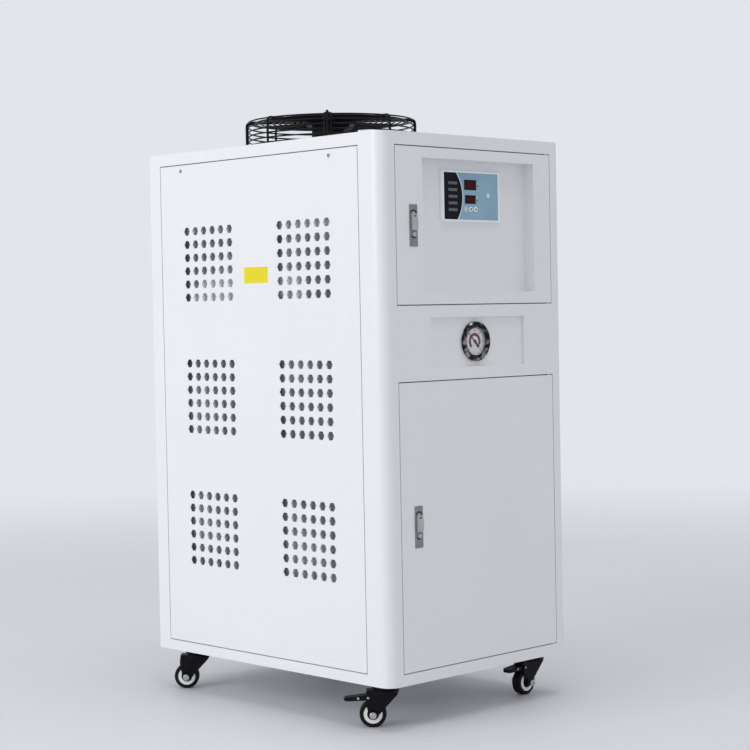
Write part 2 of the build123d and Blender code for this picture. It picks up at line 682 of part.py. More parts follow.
with BuildPart() as gauge_dial:
    add(turned((
        (GAUGE_STEM / 2 + SEAT_GAP, DIAL_FLOOR - DIAL_THICK),
        (DIAL_R - SEAT_GAP, DIAL_FLOOR - DIAL_THICK),
        (DIAL_R - SEAT_GAP, DIAL_FLOOR),
        (GAUGE_STEM / 2 + SEAT_GAP, DIAL_FLOOR),
    )))
gauge_dial.part.label = "gauge_dial"
export_step(gauge_dial.part, "parts/gauge_dial.step")

with BuildPart() as gauge_glass:
    rod_y(GAUGE_X, GAUGE_Z, GLASS_FRONT, GLASS_BACK, GAUGE_FLANGE / 2 - SEAT_GAP)
gauge_glass.part.label = "gauge_glass"
export_step(gauge_glass.part, "parts/gauge_glass.step")

# Needle: tapered pointer, broad tail, hub and stem, pointing to half past ten
NEEDLE_BACK = DIAL_FLOOR - DIAL_THICK - SEAT_GAP
NEEDLE_FRONT = NEEDLE_BACK - 0.8
NEEDLE_TURN = 135
NEEDLE_TIP, NEEDLE_TAIL = 22, 11

needle_aim = (cos(radians(NEEDLE_TURN)), 0, sin(radians(NEEDLE_TURN)))
needle_plane = Plane((GAUGE_X, NEEDLE_BACK, GAUGE_Z), x_dir=needle_aim, z_dir=(0, -1, 0))

with BuildPart() as gauge_needle:
    with BuildSketch(needle_plane):
        with BuildLine():
            Polyline(
                (NEEDLE_TIP, 0.3),
                (NEEDLE_TIP, -0.3),
                (0, -1.2),
                (-NEEDLE_TAIL + 3, -1.2),
                (-NEEDLE_TAIL, -2.4),
                (-NEEDLE_TAIL, 2.4),
                (-NEEDLE_TAIL + 3, 1.2),
                (0, 1.2),
                close=True,
            )
        make_face()
    extrude(amount=NEEDLE_BACK - NEEDLE_FRONT)
    rod_y(GAUGE_X, GAUGE_Z, NEEDLE_FRONT - 0.5, NEEDLE_BACK, 3)
    rod_y(GAUGE_X, GAUGE_Z, NEEDLE_BACK, STEM_END - SEAT_GAP, GAUGE_STEM / 2)
gauge_needle.part.label = "gauge_needle"
export_step(gauge_needle.part, "parts/gauge_needle.step")


def lock(prefix, door_low, door_high):
    """Flush door lock: body, spindle with cam, lifting lever and release button."""
    centre_z = (door_low + door_high) / 2
    axis_z = centre_z + SPINDLE_UP
    release_z = centre_z - RELEASE_DOWN
    plate_front = FRONT - LOCK_PLATE
    lever_back = plate_front - SEAT_GAP
    pin_y = lever_back - LEVER_THICK / 2
    body_back = FRONT + LOCK_BODY_DEEP
    barrel_back = FRONT + DOOR_PAN
    cam_front = FRONT + DOOR_PAN + SHEET + SEAT_GAP + 0.2
    cam_back = cam_front + CAM_THICK

    with BuildPart() as lock_body:
        with BuildSketch(Plane.XZ.offset(-FRONT)):
            with Locations((LOCK_X, centre_z)):
                RectangleRounded(LOCK_WIDE, LOCK_HIGH, 2)
        extrude(amount=LOCK_PLATE)
        body_x = (LOCK_X - LOCK_BODY_WIDE / 2, LOCK_X + LOCK_BODY_WIDE / 2)
        body_z = (centre_z - LOCK_BODY_HIGH / 2, centre_z + LOCK_BODY_HIGH / 2)
        block(body_x, (FRONT, body_back), body_z)
        rod_y(LOCK_X, axis_z, body_back, barrel_back, LOCK_BODY_WIDE / 2)
        bore = SPINDLE / 2 + RUNNING_FIT
        rod_y(LOCK_X, axis_z, plate_front - CUT, barrel_back + CUT, bore, Mode.SUBTRACT)
        release_bore = RELEASE / 2 + RUNNING_FIT
        release_end = plate_front - RELEASE_PROUD + RELEASE_LONG + RELEASE_TRAVEL + CUT
        rod_y(LOCK_X, release_z, plate_front - CUT, release_end, release_bore, Mode.SUBTRACT)
    lock_body.part.label = f"{prefix}_lock_body"
    export_step(lock_body.part, f"parts/{prefix}_lock_body.step")

    with BuildPart() as lock_cam:
        rod_y(LOCK_X, axis_z, lever_back, cam_back, SPINDLE / 2)
        with BuildSketch(Plane.XZ.offset(-cam_back)):
            with Locations((LOCK_X, axis_z)):
                Circle(CAM_WIDE / 2)
            with Locations((LOCK_X, axis_z - CAM_REACH / 2)):
                Rectangle(CAM_WIDE * 0.8, CAM_REACH)
        extrude(amount=CAM_THICK)
        block((LOCK_X - LUG / 2, LOCK_X + LUG / 2), (pin_y, lever_back), (axis_z - 1.6, axis_z + 1.6))
        rod_x(pin_y, axis_z, LOCK_X - LUG / 2, LOCK_X + LUG / 2, 1.6)
        pin_bore = LEVER_PIN / 2 + RUNNING_FIT
        lug_reach = (LOCK_X - LUG / 2 - CUT, LOCK_X + LUG / 2 + CUT)
        rod_x(pin_y, axis_z, *lug_reach, pin_bore, Mode.SUBTRACT)
    lock_cam.part.label = f"{prefix}_lock_cam"
    export_step(lock_cam.part, f"parts/{prefix}_lock_cam.step")

    with BuildPart() as lock_lever:
        half = LEVER_THICK / 2
        with BuildSketch(Plane.YZ.offset(LOCK_X - LEVER_WIDE / 2)):
            with Locations((pin_y, axis_z)):
                Circle(half)
            with BuildLine():
                Line((lever_back, axis_z), (lever_back, axis_z - LEVER_LONG))
                Line((lever_back, axis_z - LEVER_LONG), (pin_y - half, axis_z - LEVER_LONG))
                crown = (pin_y - half - LEVER_CROWN, axis_z - LEVER_LONG / 2)
                ThreePointArc((pin_y - half, axis_z - LEVER_LONG), crown, (pin_y - half, axis_z))
                Line((pin_y - half, axis_z), (lever_back, axis_z))
            make_face()
        extrude(amount=LEVER_WIDE)
        slot = LUG / 2 + SEAT_GAP
        slot_z = (axis_z - half - 5 * SEAT_GAP, axis_z + half + CUT)
        slot_y = (pin_y - half - LEVER_CROWN - CUT, lever_back + CUT)
        block((LOCK_X - slot, LOCK_X + slot), slot_y, slot_z, Mode.SUBTRACT)
        pin_end = LEVER_WIDE / 2 - CUT
        rod_x(pin_y, axis_z, LOCK_X - pin_end, LOCK_X + pin_end, LEVER_PIN / 2)
    lock_lever.part.label = f"{prefix}_lock_lever"
    export_step(lock_lever.part, f"parts/{prefix}_lock_lever.step")

    with BuildPart() as release:
        release_front = plate_front - RELEASE_PROUD
        rod_y(LOCK_X, release_z, release_front, release_front + RELEASE_LONG, RELEASE / 2)
        chamfer(release.faces().sort_by(Axis.Y)[0].edges(), 0.8)
    release.part.label = f"{prefix}_lock_button"
    export_step(release.part, f"parts/{prefix}_lock_button.step")


lock("upper", UPPER_LOW, UPPER_HIGH)
lock("lower", LOWER_LOW, LOWER_HIGH)

# Fan guard: side rings, top rings and arms of bent rod, welded into one piece
SIDE_RING_R = GUARD / 2 - GUARD_WIRE / 2
ARM_R = GUARD / 2 + GUARD_ROD / 2 - GUARD_BITE / 2
TOP_RING_Z = ROD_Z - GUARD_ROD / 2
FOOT_Z = ROOF + GUARD_ROD / 2
SINGLE_ANGLES = (0, 90, 180, 270)


def wire_ring(radius, height):
    """Ring of wire with a six-sided section, about the fan's axis."""
    with BuildPart() as ring:
        with BuildSketch(Plane.XZ):
            with Locations((radius, height)):
                RegularPolygon(GUARD_WIRE / 2, 6)
        revolve(axis=Axis.Z)
    return ring.part.moved(Location((*CEN, 0)))


def guard_arm(angle, aside, thick, foot_reach):
    """Rod from the middle of the guard over its edge and down to the roof."""
    arm_r = SIDE_RING_R + GUARD_WIRE / 2 + thick / 2 - GUARD_BITE / 2
    top_z = TOP_RING_Z + GUARD_ROD / 2
    with BuildPart() as arm:
        with BuildLine() as route:
            if foot_reach:
                FilletPolyline(
                    (ARM_INNER, aside, top_z),
                    (arm_r, aside, top_z),
                    (arm_r, aside, FOOT_Z),
                    (foot_reach, aside, FOOT_Z),
                    radius=(GUARD_BEND, GUARD_ROD / 2 + 0.5),
                )
            else:
                FilletPolyline(
                    (ARM_INNER, aside, top_z),
                    (arm_r, aside, top_z),
                    (arm_r, aside, FOOT_Z),
                    radius=GUARD_BEND,
                )
        with BuildSketch(Plane(origin=route.line @ 0, z_dir=route.line % 0)):
            Circle(thick / 2)
        sweep(path=route.line)
    return arm.part.moved(Location((*CEN, 0), (0, 0, angle)))


with BuildPart() as fan_guard:
    for number in range(SIDE_RINGS):
        add(wire_ring(SIDE_RING_R, TOP_RING_Z - number * SIDE_PITCH + GUARD_WIRE / 2))
    for number in range(TOP_RINGS):
        add(wire_ring(TOP_RING_INNER + number * TOP_RING_PITCH, TOP_RING_Z))
    for angle in FOOT_ANGLES:
        for aside in (-GUARD_PAIR / 2, GUARD_PAIR / 2):
            add(guard_arm(angle, aside, GUARD_ROD, FOOT_SCREW_R + FOOT_PAST_SCREW))
    for angle in SINGLE_ANGLES:
        add(guard_arm(angle, 0, GUARD_SINGLE_ROD, 0))
fan_guard.part.label = "fan_guard"
export_step(fan_guard.part, "parts/fan_guard.step")

# Screws that hold the guard's feet to the roof, each with its washer between two rods
FOOT_TOP = ROOF + GUARD_ROD
with BuildPart() as guard_screws:
    for x, y in FOOT_SPOTS:
        rod_z(x, y, FOOT_TOP, FOOT_TOP + FOOT_WASHER_THICK, FOOT_WASHER / 2)
        rod_z(x, y, CEILING - 4, FOOT_TOP, SCREW / 2)
        with BuildSketch(Plane.XY.offset(FOOT_TOP + FOOT_WASHER_THICK)):
            with Locations((x, y)):
                RegularPolygon(SCREW, 6)
        extrude(amount=SCREW * 0.7)
guard_screws.part.label = "guard_screws"
export_step(guard_screws.part, "parts/guard_screws.step")

# Fan motor: fixed flange hung under the guard, can, shaft and terminal for its lead
FLANGE_TOP = ROD_Z - GUARD_ROD / 2 - SEAT_GAP
FLANGE_LOW = FLANGE_TOP - MOTOR_FLANGE_THICK
CAN_LOW = FLANGE_LOW - MOTOR_CAN_DEEP
DRUM_TOP = CAN_LOW - SEAT_GAP
DRUM_LOW = DRUM_TOP - ROTOR_DEEP
LEAD_RISE = sqrt((GUARD_ROD / 2 + LEAD / 2 + LEAD_GAP) ** 2 - (GUARD_PAIR / 2) ** 2)
LEAD_Z = ROD_Z + LEAD_RISE
TERMINAL_R = 26
ARM_TURN = 225

with BuildPart() as fan_motor:
    rod_z(*CEN, FLANGE_LOW, FLANGE_TOP, MOTOR_FLANGE / 2)
    rod_z(*CEN, CAN_LOW, FLANGE_LOW, MOTOR_CAN / 2)
    rod_z(*CEN, DRUM_LOW + 5, CAN_LOW, MOTOR_SHAFT / 2)
    with Locations(Location((*CEN, FLANGE_TOP), (0, 0, ARM_TURN))):
        with Locations((TERMINAL_R - TERMINAL / 2, 0, (LEAD_Z + LEAD / 2 - FLANGE_TOP) / 2)):
            Box(TERMINAL, TERMINAL, LEAD_Z + LEAD / 2 - FLANGE_TOP)
fan_motor.part.label = "fan_motor"
export_step(fan_motor.part, "parts/fan_motor.step")

# Rotor: drum on the motor's shaft with five twisted blades
BLADE_MID = ROOF - 15
ROOT_R, TIP_R = ROTOR_DRUM / 2 - 2, FAN / 2
ROOT_CHORD, TIP_CHORD = 62, 88
ROOT_PITCH, TIP_PITCH = 38, 24
TIP_LEAD = 26


def blade_section(radius, chord, pitch, ahead):
    """Section of a blade: a thin strip bent to an arc, at one distance from the axis."""
    plane = Plane(origin=(radius, ahead, BLADE_MID), x_dir=(0, 1, 0), z_dir=(1, 0, 0))
    half = chord / 2
    bow = chord * 0.07
    with BuildSketch(plane.rotated((0, 0, pitch))) as strip:
        with BuildLine():
            ThreePointArc((-half, 0), (0, bow), (half, 0))
            Line((half, 0), (half, BLADE_THICK))
            ThreePointArc((half, BLADE_THICK), (0, bow + BLADE_THICK), (-half, BLADE_THICK))
            Line((-half, BLADE_THICK), (-half, 0))
        make_face()
    return strip.sketch


with BuildPart() as blade:
    add(blade_section(ROOT_R, ROOT_CHORD, ROOT_PITCH, 0))
    add(blade_section(TIP_R, TIP_CHORD, TIP_PITCH, TIP_LEAD))
    loft()
    rod_z(0, 0, BLADE_MID - TIP_R, BLADE_MID + TIP_R, TIP_R, Mode.INTERSECT)

with BuildPart() as fan_rotor:
    rod_z(*CEN, DRUM_LOW, DRUM_TOP, ROTOR_DRUM / 2)
    for number in range(FAN_BLADES):
        add(blade.part.moved(Location((*CEN, 0), (0, 0, number * 360 / FAN_BLADES))))
    bore_low = DRUM_LOW + 5 - SEAT_GAP
    rod_z(*CEN, bore_low, DRUM_TOP + CUT, MOTOR_SHAFT / 2 + RUNNING_FIT, Mode.SUBTRACT)
fan_rotor.part.label = "fan_rotor"
export_step(fan_rotor.part, "parts/fan_rotor.step")

# Shroud: short duct under the roof with a flange round the fan opening
with BuildPart() as fan_shroud:
    shroud_low = CEILING - FAN_SHROUD_DEEP
    rod_z(*CEN, CEILING - SHEET, CEILING, FAN_OPENING / 2 + 12)
    rod_z(*CEN, shroud_low, CEILING - SHEET, FAN_OPENING / 2)
    rod_z(*CEN, shroud_low - CUT, CEILING + CUT, FAN_OPENING / 2 - SHEET, Mode.SUBTRACT)
fan_shroud.part.label = "fan_shroud"
export_step(fan_shroud.part, "parts/fan_shroud.step")

# Elbow gland of the motor lead on the roof, straight mains gland on the rear panel
FOOT_AIM = (
    CEN[0] + (ARM_R + GUARD_ROD) * cos(radians(ARM_TURN)),
    CEN[1] + (ARM_R + GUARD_ROD) * sin(radians(ARM_TURN)),
)
GLAND_TURN = degrees(atan2(FOOT_AIM[1] - GLAND_SPOT[1], FOOT_AIM[0] - GLAND_SPOT[0]))
GLAND_MOUTH = GLAND_LONG - GLAND / 2

with BuildPart() as cable_glands:
    rod_z(*GLAND_SPOT, CEILING - 8, ROOF + GLAND_AXIS, GLAND_STEM / 2)
    rod_z(*GLAND_SPOT, ROOF, ROOF + 4, GLAND_STEM / 2 + 3)
    rod_z(*GLAND_SPOT, CEILING - 5, CEILING, GLAND_STEM / 2 + 3)
    with Locations(Location((*GLAND_SPOT, ROOF + GLAND_AXIS), (0, 0, GLAND_TURN))):
        with Locations(Location(((GLAND_LONG - GLAND) / 2, 0, 0), (0, 90, 0))):
            Cylinder(GLAND / 2, GLAND_LONG)
    rod_y(*MAINS_SPOT, BACK - 5, REAR_FACE + 16, GLAND_STEM / 2)
    rod_y(*MAINS_SPOT, BACK - 5, BACK, GLAND_STEM / 2 + 3)
    rod_y(*MAINS_SPOT, REAR_FACE, REAR_FACE + 6, GLAND_STEM / 2 + 3)
    rod_y(*MAINS_SPOT, BACK - 5 - CUT, REAR_FACE + 16 + CUT, LEAD, Mode.SUBTRACT)
cable_glands.part.label = "cable_glands"
export_step(cable_glands.part, "parts/cable_glands.step")


def around_fan(radius, height):
    """Point on the front left arm of the guard."""
    turn = radians(ARM_TURN)
    return (CEN[0] + radius * cos(turn), CEN[1] + radius * sin(turn), height)


# Motor lead: over the guard in the groove between two rods, down its side, into the gland
LEAD_R = ARM_R + LEAD_RISE
turn = radians(GLAND_TURN)
lead_mouth = (
    GLAND_SPOT[0] + GLAND_MOUTH * cos(turn),
    GLAND_SPOT[1] + GLAND_MOUTH * sin(turn),
    ROOF + GLAND_AXIS,
)
lead_before = (
    GLAND_SPOT[0] + (GLAND_MOUTH + GLAND_TAIL) * cos(turn),
    GLAND_SPOT[1] + (GLAND_MOUTH + GLAND_TAIL) * sin(turn),
    ROOF + GLAND_AXIS,
)
with BuildPart() as motor_lead:
    add(tube(
        (
            around_fan(TERMINAL_R, LEAD_Z),
            around_fan(LEAD_R, LEAD_Z),
            around_fan(LEAD_R, ROOF + LEAD_OVER_ROOF),
            lead_before,
            lead_mouth,
        ),
        (LEAD_BEND, LEAD_FOOT_BEND, LEAD_ENTRY_BEND),
        LEAD,
    ))
motor_lead.part.label = "motor_lead"
export_step(motor_lead.part, "parts/motor_lead.step")

# Condenser coil on two rails under the fan
CONDENSER_LOW = ROOF - CONDENSER_DROP
with BuildPart() as condenser_rails:
    for side in (-1, 1):
        outer = LIP_FACE - SHEET
        rail_y = (STRIP_FRONT - SHEET, STRIP_REAR + SHEET)
        leg_z = (CONDENSER_LOW - RAIL_HIGH, CONDENSER_LOW)
        block((side * outer, side * (outer - RAIL_THICK)), rail_y, leg_z)
        shelf_z = (CONDENSER_LOW - RAIL_THICK, CONDENSER_LOW)
        block((side * outer, side * (outer - RAIL_WIDE)), rail_y, shelf_z)
condenser_rails.part.label = "condenser_rails"
export_step(condenser_rails.part, "parts/condenser_rails.step")

# Coil: end plates, a block of fins with open slots at its top, and return bends
FIN_SLOTS = 44
FIN_SLOT_DEEP = 6
with BuildPart() as condenser_coil:
    coil_x = (-CONDENSER_WIDE / 2, CONDENSER_WIDE / 2)
    coil_y = (MID_Y + CONDENSER_FRONT, MID_Y + CONDENSER_REAR)
    block(coil_x, coil_y, (CONDENSER_LOW, CONDENSER_LOW + CONDENSER_HIGH))
    slot_z = CONDENSER_LOW + CONDENSER_HIGH - FIN_SLOT_DEEP / 2
    slot_long = CONDENSER_REAR - CONDENSER_FRONT - 30
    with Locations((0, (coil_y[0] + coil_y[1]) / 2, slot_z)):
        with GridLocations(CONDENSER_WIDE / (FIN_SLOTS + 1), 1, FIN_SLOTS, 1):
            Box(5, slot_long, FIN_SLOT_DEEP, mode=Mode.SUBTRACT)
condenser_coil.part.label = "condenser_coil"
export_step(condenser_coil.part, "parts/condenser_coil.step")

# Shelf under the electrical parts, its side flanges against the front frame's lips
SHELF_TOP = LOWER_HIGH + SHELF_RAISE
SHELF_FRONT = FRONT + SHELF_FRONT_GAP
SHELF_X = LIP_FACE - SHEET
with BuildPart() as shelf:
    shelf_y = (SHELF_FRONT, SHELF_FRONT + SHELF_DEEP)
    block((-SHELF_X, SHELF_X), shelf_y, (SHELF_TOP - SHEET, SHELF_TOP))
    for side in (-1, 1):
        block((side * SHELF_X, side * (SHELF_X - SHEET)), shelf_y, (SHELF_TOP - PAN, SHELF_TOP))
shelf.part.label = "shelf"
export_step(shelf.part, "parts/shelf.step")

# Mounting plate of the electrical parts, standing on the shelf
PLATE_FRONT = SHELF_FRONT + SHELF_DEEP - PAN
with BuildPart() as mounting_plate:
    plate_z = (SHELF_TOP, SHELF_TOP + MOUNT_PLATE_HIGH)
    plate_x = (-MOUNT_PLATE_X, MOUNT_PLATE_X)
    block(plate_x, (PLATE_FRONT, PLATE_FRONT + SHEET), plate_z)
    block(plate_x, (PLATE_FRONT, PLATE_FRONT + PAN), (SHELF_TOP, SHELF_TOP + SHEET))
mounting_plate.part.label = "mounting_plate"
export_step(mounting_plate.part, "parts/mounting_plate.step")

# Electrical parts on two rails: contactors and a relay above, a terminal strip below
DIN_RAIL, DIN_RAIL_DEEP, DIN_RAIL_END = 34, 7, 4
UPPER_RAIL_Z = SHELF_TOP + 250
STRIP_Z = SHELF_TOP + 110
CONTACTOR_XS = (-130, -70)
CONTACTOR_WIDE, CONTACTOR_HIGH, CONTACTOR_DEEP = 44, 76, 75
COIL_WIDE, COIL_HIGH, COIL_DEEP = 36, 40, 7
RELAY_X, RELAY_WIDE, RELAY_HIGH, RELAY_DEEP = 30, 60, 60, 60
STRIP_WIDE, STRIP_HIGH_OVER, STRIP_DEEP = 240, 44, 45
TERMINALS, TERMINAL_PITCH = 18, 12
TERMINAL_SLOT, TERMINAL_SLOT_HIGH, TERMINAL_SLOT_DEEP = 8, 30, 6
RAIL_FACE = PLATE_FRONT - DIN_RAIL_DEEP


def on_rail(x, z, wide, high, deep):
    """Housing clipped to a rail, reaching a distance in front of the mounting plate."""
    block((x - wide / 2, x + wide / 2), (PLATE_FRONT - deep, RAIL_FACE), (z - high / 2, z + high / 2))


with BuildPart() as electrical_parts:
    rail_left = CONTACTOR_XS[0] - CONTACTOR_WIDE / 2 - DIN_RAIL_END
    rail_right = RELAY_X + RELAY_WIDE / 2 + DIN_RAIL_END
    strip_end = STRIP_WIDE / 2 + DIN_RAIL_END
    for rail_x, rail_z in (((rail_left, rail_right), UPPER_RAIL_Z), ((-strip_end, strip_end), STRIP_Z)):
        block(rail_x, (RAIL_FACE, PLATE_FRONT), (rail_z - DIN_RAIL / 2, rail_z + DIN_RAIL / 2))
    for x in CONTACTOR_XS:
        on_rail(x, UPPER_RAIL_Z, CONTACTOR_WIDE, CONTACTOR_HIGH, CONTACTOR_DEEP)
        on_rail(x, UPPER_RAIL_Z, COIL_WIDE, COIL_HIGH, CONTACTOR_DEEP + COIL_DEEP)
    on_rail(RELAY_X, UPPER_RAIL_Z, RELAY_WIDE, RELAY_HIGH, RELAY_DEEP)
    on_rail(0, STRIP_Z, STRIP_WIDE, STRIP_HIGH_OVER, STRIP_DEEP)
    with Locations((0, PLATE_FRONT - STRIP_DEEP, STRIP_Z)):
        with GridLocations(TERMINAL_PITCH, 1, TERMINALS, 1):
            Box(TERMINAL_SLOT, TERMINAL_SLOT_DEEP, TERMINAL_SLOT_HIGH, mode=Mode.SUBTRACT)
electrical_parts.part.label = "electrical_parts"
export_step(electrical_parts.part, "parts/electrical_parts.step")

# Water tank on the floor plate, with its filler cap
TANK_YS = (MID_Y + TANK_FRONT, MID_Y + TANK_FRONT + TANK_LONG)
TANK_TOP = FLOOR + TANK_HIGH
with BuildPart() as water_tank:
    with BuildSketch(Plane.XY.offset(FLOOR)):
        with Locations((0, (TANK_YS[0] + TANK_YS[1]) / 2)):
            RectangleRounded(TANK_WIDE, TANK_LONG, TANK_CORNER)
    extrude(amount=TANK_HIGH)
    rod_z(-120, TANK_YS[0] + 80, TANK_TOP, TANK_TOP + 22, 45)
    for side in (-1, 1):
        groove = (side * TANK_WIDE / 2, side * (TANK_WIDE / 2 - 6))
        for y in (TANK_YS[0] + 70, TANK_YS[1] - 70):
            block(groove, (y - 15, y + 15), (FLOOR + 40, TANK_TOP - 40), Mode.SUBTRACT)
water_tank.part.label = "water_tank"
export_step(water_tank.part, "parts/water_tank.step")

# Compressor: domed shell on three feet, with the stubs of its two pipes
COMP_SPOT = (COMPRESSOR_X, MID_Y + COMPRESSOR_Y)
COMP_LOW = FLOOR + 22
COMP_TOP = COMP_LOW + COMPRESSOR_HIGH
STUB_HIGH = 14
STUB_SPOTS = ((COMP_SPOT[0] - 25, COMP_SPOT[1]), (COMP_SPOT[0] + 25, COMP_SPOT[1]))
with BuildPart() as compressor:
    with BuildSketch(Plane.XZ):
        with BuildLine():
            FilletPolyline(
                (0, COMP_LOW),
                (COMPRESSOR / 2 - 20, COMP_LOW),
                (COMPRESSOR / 2, COMP_LOW + 25),
                (COMPRESSOR / 2, COMP_TOP - 35),
                (COMPRESSOR / 2 - 35, COMP_TOP),
                (0, COMP_TOP),
                radius=12,
            )
            Line((0, COMP_TOP), (0, COMP_LOW))
        make_face()
    revolve(axis=Axis.Z)
    for angle in (90, 210, 330):
        with Locations(Location((0, 0, 0), (0, 0, angle))):
            with Locations((COMPRESSOR / 2 - 8, 0, (FLOOR + COMP_LOW) / 2 + 2)):
                Box(44, 40, COMP_LOW - FLOOR + 4)
    for side in (-1, 1):
        rod_z(side * 25, 0, COMP_TOP - 4, COMP_TOP + STUB_HIGH, PIPE / 2 + 2)
    rod_z(0, 0, COMP_TOP - 4, COMP_TOP + 8, 14)
compressor_placed = compressor.part.moved(Location((*COMP_SPOT, 0)))
compressor_placed.label = "compressor"
export_step(compressor_placed, "parts/compressor.step")

# Circulation pump: motor barrel, volute, foot, and its two water connections
PUMP_SPOT_Z = FLOOR + PUMP_AXIS
PUMP_YS = (MID_Y + PUMP_FRONT, MID_Y + PUMP_REAR)
VOLUTE_FRONT = PUMP_YS[1] - 55
RISER_Y = PUMP_YS[1] - 28
RISER_LOW = PUMP_SPOT_Z + PUMP / 2 + 12
with BuildPart() as pump:
    rod_y(PUMP_X, PUMP_SPOT_Z, PUMP_YS[0], VOLUTE_FRONT, PUMP / 2 - 6)
    rod_y(PUMP_X, PUMP_SPOT_Z, PUMP_YS[0] - 12, PUMP_YS[0], PUMP / 2)
    rod_y(PUMP_X, PUMP_SPOT_Z, VOLUTE_FRONT, PUMP_YS[1], PUMP / 2 + 4)
    rod_y(PUMP_X, PUMP_SPOT_Z, PUMP_YS[1], PUMP_YS[1] + 20, WATER_PIPE / 2 + 4)
    rod_z(PUMP_X, RISER_Y, PUMP_SPOT_Z, RISER_LOW, WATER_PIPE / 2 + 4)
    foot_z = (FLOOR, PUMP_SPOT_Z - PUMP / 2 + 12)
    block((PUMP_X - 45, PUMP_X + 45), (PUMP_YS[0] + 15, VOLUTE_FRONT - 15), foot_z)
pump.part.label = "pump"
export_step(pump.part, "parts/pump.step")

# Threaded water fittings standing out of the rear panel
PORT_END = BACK + PORT_REACH
PORT_INNER = BACK - 10
with BuildPart() as water_ports:
    for x, z in PORT_SPOTS:
        rod_y(x, z, PORT_INNER, PORT_END, PORT / 2)
        rod_y(x, z, REAR_FACE, REAR_FACE + PORT_FLANGE_THICK, PORT_FLANGE / 2)
        rod_y(x, z, PORT_END - PORT_BORE_DEEP, PORT_END + CUT, PORT_BORE, Mode.SUBTRACT)
water_ports.part.label = "water_ports"
export_step(water_ports.part, "parts/water_ports.step")

# Water pipes: tank to pump, pump to outlet, inlet to tank, tank to drain
BEND = 34
with BuildPart() as water_pipes:
    rod_y(PUMP_X, PUMP_SPOT_Z, PUMP_YS[1] + 20, TANK_YS[0], WATER_PIPE / 2)
    outlet_z = BASE + OUTLET_Z
    add(tube(
        ((PUMP_X, RISER_Y, RISER_LOW), (PUMP_X, RISER_Y, outlet_z), (PUMP_X, PORT_INNER, outlet_z)),
        BEND,
        WATER_PIPE,
    ))
    inlet_z = BASE + INLET_Z
    inlet_drop = TANK_YS[1] - 90
    add(tube(
        ((INLET_X, PORT_INNER, inlet_z), (INLET_X, inlet_drop, inlet_z), (INLET_X, inlet_drop, TANK_TOP)),
        BEND,
        WATER_PIPE,
    ))
    rod_y(DRAIN_X, BASE + DRAIN_Z, TANK_YS[1], PORT_INNER, WATER_PIPE / 2)
water_pipes.part.label = "water_pipes"
export_step(water_pipes.part, "parts/water_pipes.step")

# Refrigerant pipes with the filter drier in the liquid line
DRIER_X, DRIER_Y = 70, MID_Y - 110
DRIER_LOW, DRIER_HIGH = BASE + 640, BASE + 780
with BuildPart() as refrigerant_pipes:
    riser_x, riser_y = STUB_SPOTS[0]
    add(tube(
        ((riser_x, riser_y, COMP_TOP + STUB_HIGH), (riser_x, riser_y, BASE + 420),
         (riser_x, MID_Y - 120, BASE + 480), (riser_x, MID_Y - 120, CONDENSER_LOW)),
        20,
        PIPE,
    ))
    rod_z(DRIER_X, DRIER_Y, DRIER_HIGH, CONDENSER_LOW, PIPE / 2)
    rod_z(DRIER_X, DRIER_Y, DRIER_LOW, DRIER_HIGH, DRIER / 2)
    liquid_y = TANK_YS[0] + 40
    add(tube(
        ((DRIER_X, DRIER_Y, DRIER_LOW), (DRIER_X, DRIER_Y, BASE + 560),
         (DRIER_X, liquid_y, BASE + 560), (DRIER_X, liquid_y, TANK_TOP)),
        30,
        PIPE,
    ))
    return_x, return_y = STUB_SPOTS[1]
    back_z = BASE + 450
    back_y = TANK_YS[0] + 40
    add(tube(
        ((return_x, return_y, COMP_TOP + STUB_HIGH), (return_x, return_y, back_z),
         (return_x + 50, back_y - 30, back_z), (return_x + 50, back_y, back_z - 30),
         (return_x + 50, back_y, TANK_TOP)),
        (24, 12, 12),
        PIPE,
    ))
refrigerant_pipes.part.label = "refrigerant_pipes"
export_step(refrigerant_pipes.part, "parts/refrigerant_pipes.step")

# Caster plates: mounting plate, upper race and kingpin of all four casters
WHEEL_Z = WHEEL / 2
CHEEK_IN = WHEEL_WIDE / 2 + WHEEL_GAP
CHEEK_OUT = CHEEK_IN + CHEEK
PLATE_LONG, PLATE_WIDE = 72, 60
with BuildPart() as caster_plates:
    for name, x, y, heading in CASTERS:
        with BuildSketch(Plane.XY.offset(BASE - CASTER_PLATE)):
            with Locations((x, y)):
                RectangleRounded(PLATE_WIDE, PLATE_LONG, 6)
        extrude(amount=CASTER_PLATE)
        with Locations((x, y, (RACE_LOW + BASE - CASTER_PLATE) / 2)):
            Cone(26, 23, BASE - CASTER_PLATE - RACE_LOW)
        rod_z(x, y, CROWN_LOW - SEAT_GAP, RACE_LOW, KINGPIN / 2)
        rod_z(x, y, CROWN_LOW - SEAT_GAP - 3, CROWN_LOW - SEAT_GAP, KINGPIN / 2 + 3)
caster_plates.part.label = "caster_plates"
export_step(caster_plates.part, "parts/caster_plates.step")

